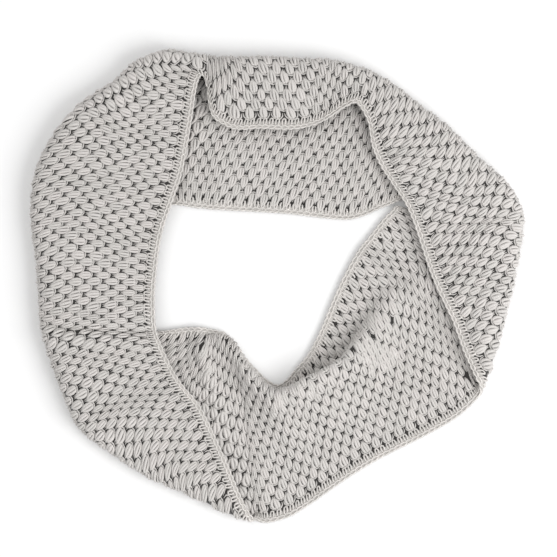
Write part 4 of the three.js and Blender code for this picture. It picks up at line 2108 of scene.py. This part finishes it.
@dataclass
class Edging:
    """One edging: a strip along a rim, with its chain and its single stitches on both sides."""

    form: ScarfForm
    rim: Rim
    node: str
    tree: StitchTree
    wool: Material
    measured_at: float = 4.0
    chain_at: float = 2.5
    loops_at: float = 7.8
    under: float = -0.5
    clear_height: float = 7.0
    chain_variation: Variation = Variation(70, size=0.04, turn=0.06)
    loops_variation: Variation = Variation(75, size=0.06, turn=0.08)

    def strip(self) -> Piece:
        """The strip that stands for the solid."""
        return RimStrip(self.form, self.rim).build(self.node + "_strip", self.wool)

    def stitches(self) -> list[Piece]:
        """The chain and the single stitches on both sides.

        Returns:
            The finished pieces.
        """
        link = ChainLink()
        single = SingleStitch()
        line = np.full(self.form.stations, self.measured_at)
        spacing = self.form.run(self.rim, self.measured_at, line)
        count = round(spacing.sum() / link.pitch)
        spacing = spacing * (count * link.pitch / spacing.sum())
        link_shape = link.shape().to_object(link.name)
        single_shape = single.shape().to_object(single.name)
        rounds = (
            ("chain", link_shape, self.chain_at, self.chain_variation),
            ("loops", single_shape, self.loops_at, self.loops_variation),
        )
        pieces = []
        for side in Side:
            cloth = Cloth(self.form, self.rim, side, spacing)
            lengths = self._clear_lengths(cloth, (np.arange(count) + 0.5) * link.pitch)
            for label, shape, distance, variation in rounds:
                name = f"{self.node}_{label}_{side.name.lower()}"
                y = np.full(len(lengths), cloth.count_sign * distance)
                points = np.stack([cloth.mirror * lengths, y], axis=1)
                own = replace(variation, seed=variation.seed + side.value)
                laid = self.tree.lay(name, points, [shape] * 3, cloth, self.wool, own)
                pieces.append(laid)
        return pieces

    def _clear_lengths(self, cloth: Cloth, lengths: np.ndarray) -> np.ndarray:
        """The pattern lengths at which stitches don't reach through the surface.

        Args:
            cloth: The side that they stand on.
            lengths: All pattern lengths along the rim.

        Returns:
            Those that are kept.
        """
        line = np.full(len(lengths), self.measured_at)
        station, _ = cloth.place_of(cloth.mirror * lengths, line)
        grid = cloth.cloth_grid
        facing = grid.read(grid.facing, station, line)[:, 2] * cloth.side.value
        height = grid.read(grid.points, station, line)[:, 2]
        return lengths[(facing > self.under) | (height > self.clear_height)]


@dataclass
class InfinityScarf:
    """The whole scarf: its band, its bean stitches and its two edgings."""

    form: ScarfForm
    tree: StitchTree
    band_wool: Material
    stitch_wool: Material
    edging_wool: Material
    most_stitches: int = 560
    first_seed: int = 12
    pieces: list[Piece] = field(default_factory=list)

    def build(self) -> Piece:
        """Build every piece of the scarf.

        Returns:
            The band's cloth, the main piece.
        """
        band = BandCloth(self.form).build(self.band_wool)
        report(band)
        self._bean_stitches()
        self._edging(Rim.UPPER, "upper_edging")
        self._edging(Rim.LOWER, "lower_edging")
        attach(band, "root")
        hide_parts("band")
        return band

    def _bean_stitches(self) -> None:
        """Set out the bean stitches of both sides, a few hundred to a piece."""
        rows = StitchRows(self.form)
        beans = {side: self._bean_shapes(side) for side in Side}
        seed = self.first_seed
        for plan in BandPlan(self.form, rows).runs():
            stitches = rows.lattice(plan.cloth, plan.first, plan.last, plan.phase)
            stitches = stitches[rows.shown(plan.cloth, stitches, plan.beyond)]
            stitches = stitches[np.argsort(stitches[:, 3], kind="stable")]
            count = max(1, math.ceil(len(stitches) / self.most_stitches))
            shapes = beans[plan.cloth.side]
            for number, part in enumerate(np.array_split(stitches, count), start=1):
                name = f"beans_{plan.name}_{number}"
                laid = self.tree.lay(
                    name, part[:, :2], shapes, plan.cloth, self.stitch_wool, Variation(seed)
                )
                self._keep(laid)
                seed += 1

    def _bean_shapes(self, side: Side) -> list[Piece]:
        """Three bean stitches that differ a little.

        Args:
            side: The side of the cloth that they stand on.

        Returns:
            Their objects in the flat pattern.
        """
        if side is Side.OUTSIDE:
            word, lean, bow, eye, seed = "out", -0.2, 0.0, 0.0, 20
        else:
            word, lean, bow, eye, seed = "in", 0.2, -0.5, 0.35, 40
        kinds = [BeanStitch(f"bean_{word}_{k}", lean, bow, eye, seed + k) for k in range(3)]
        return [kind.shape().to_object(kind.name) for kind in kinds]

    def _edging(self, rim: Rim, node: str) -> None:
        """Build one edging: its strip, its chain and its single stitches.

        Args:
            rim: The rim that it runs along.
            node: The solid that it stands for.
        """
        edging = Edging(self.form, rim, node, self.tree, self.edging_wool)
        strip = edging.strip()
        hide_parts(node)
        self._keep(strip)
        for piece in edging.stitches():
            self._keep(piece)

    def _keep(self, piece: Piece) -> None:
        """Let a piece ride with the scarf and note it.

        Args:
            piece: The finished piece.
        """
        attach(piece, "root")
        self.pieces.append(piece)
        report(piece)


def report(piece: Piece) -> None:
    """Log a finished piece and its number of triangles."""
    piece.data.calc_loop_triangles()
    LOG.info("%s: %d triangles", piece.name, len(piece.data.loop_triangles))


def remove_patterns() -> None:
    """Remove the flat shapes and carrying surfaces, which aren't part of the scarf."""
    for thing in list(bpy.data.objects):
        if thing.name.startswith(("carrier", "bean_", "chain_link", "single_stitch")):
            bpy.data.objects.remove(thing)


def main() -> None:
    """Build the studio and the scarf."""
    logging.basicConfig(level=logging.INFO, format="%(message)s")
    LOG.info("solids in the frame: %d", len(frame["nodes"]))
    Studio().build()
    wools = WoolMaterials(YarnSurface().build())
    # Painted shade: the band wool is darkened almost to black between the stitches, the edging wool
    # by a quarter on its strip, the stitch wool not at all.
    band_wool = wools.build(WoolFinish("band_wool", (0.70, 0.65, 0.61), painted_shade_strength=0.96))
    stitch_wool = wools.build(WoolFinish("stitch_wool", (0.63, 0.605, 0.582), painted_shade_strength=0.0))
    edging_wool = wools.build(WoolFinish("edging_wool", (0.74, 0.71, 0.68), painted_shade_strength=0.25))
    form = ScarfForm()
    scarf = InfinityScarf(form, StitchTree(), band_wool, stitch_wool, edging_wool)
    band = scarf.build()
    remove_patterns()


if __name__ == "__main__":
    main()
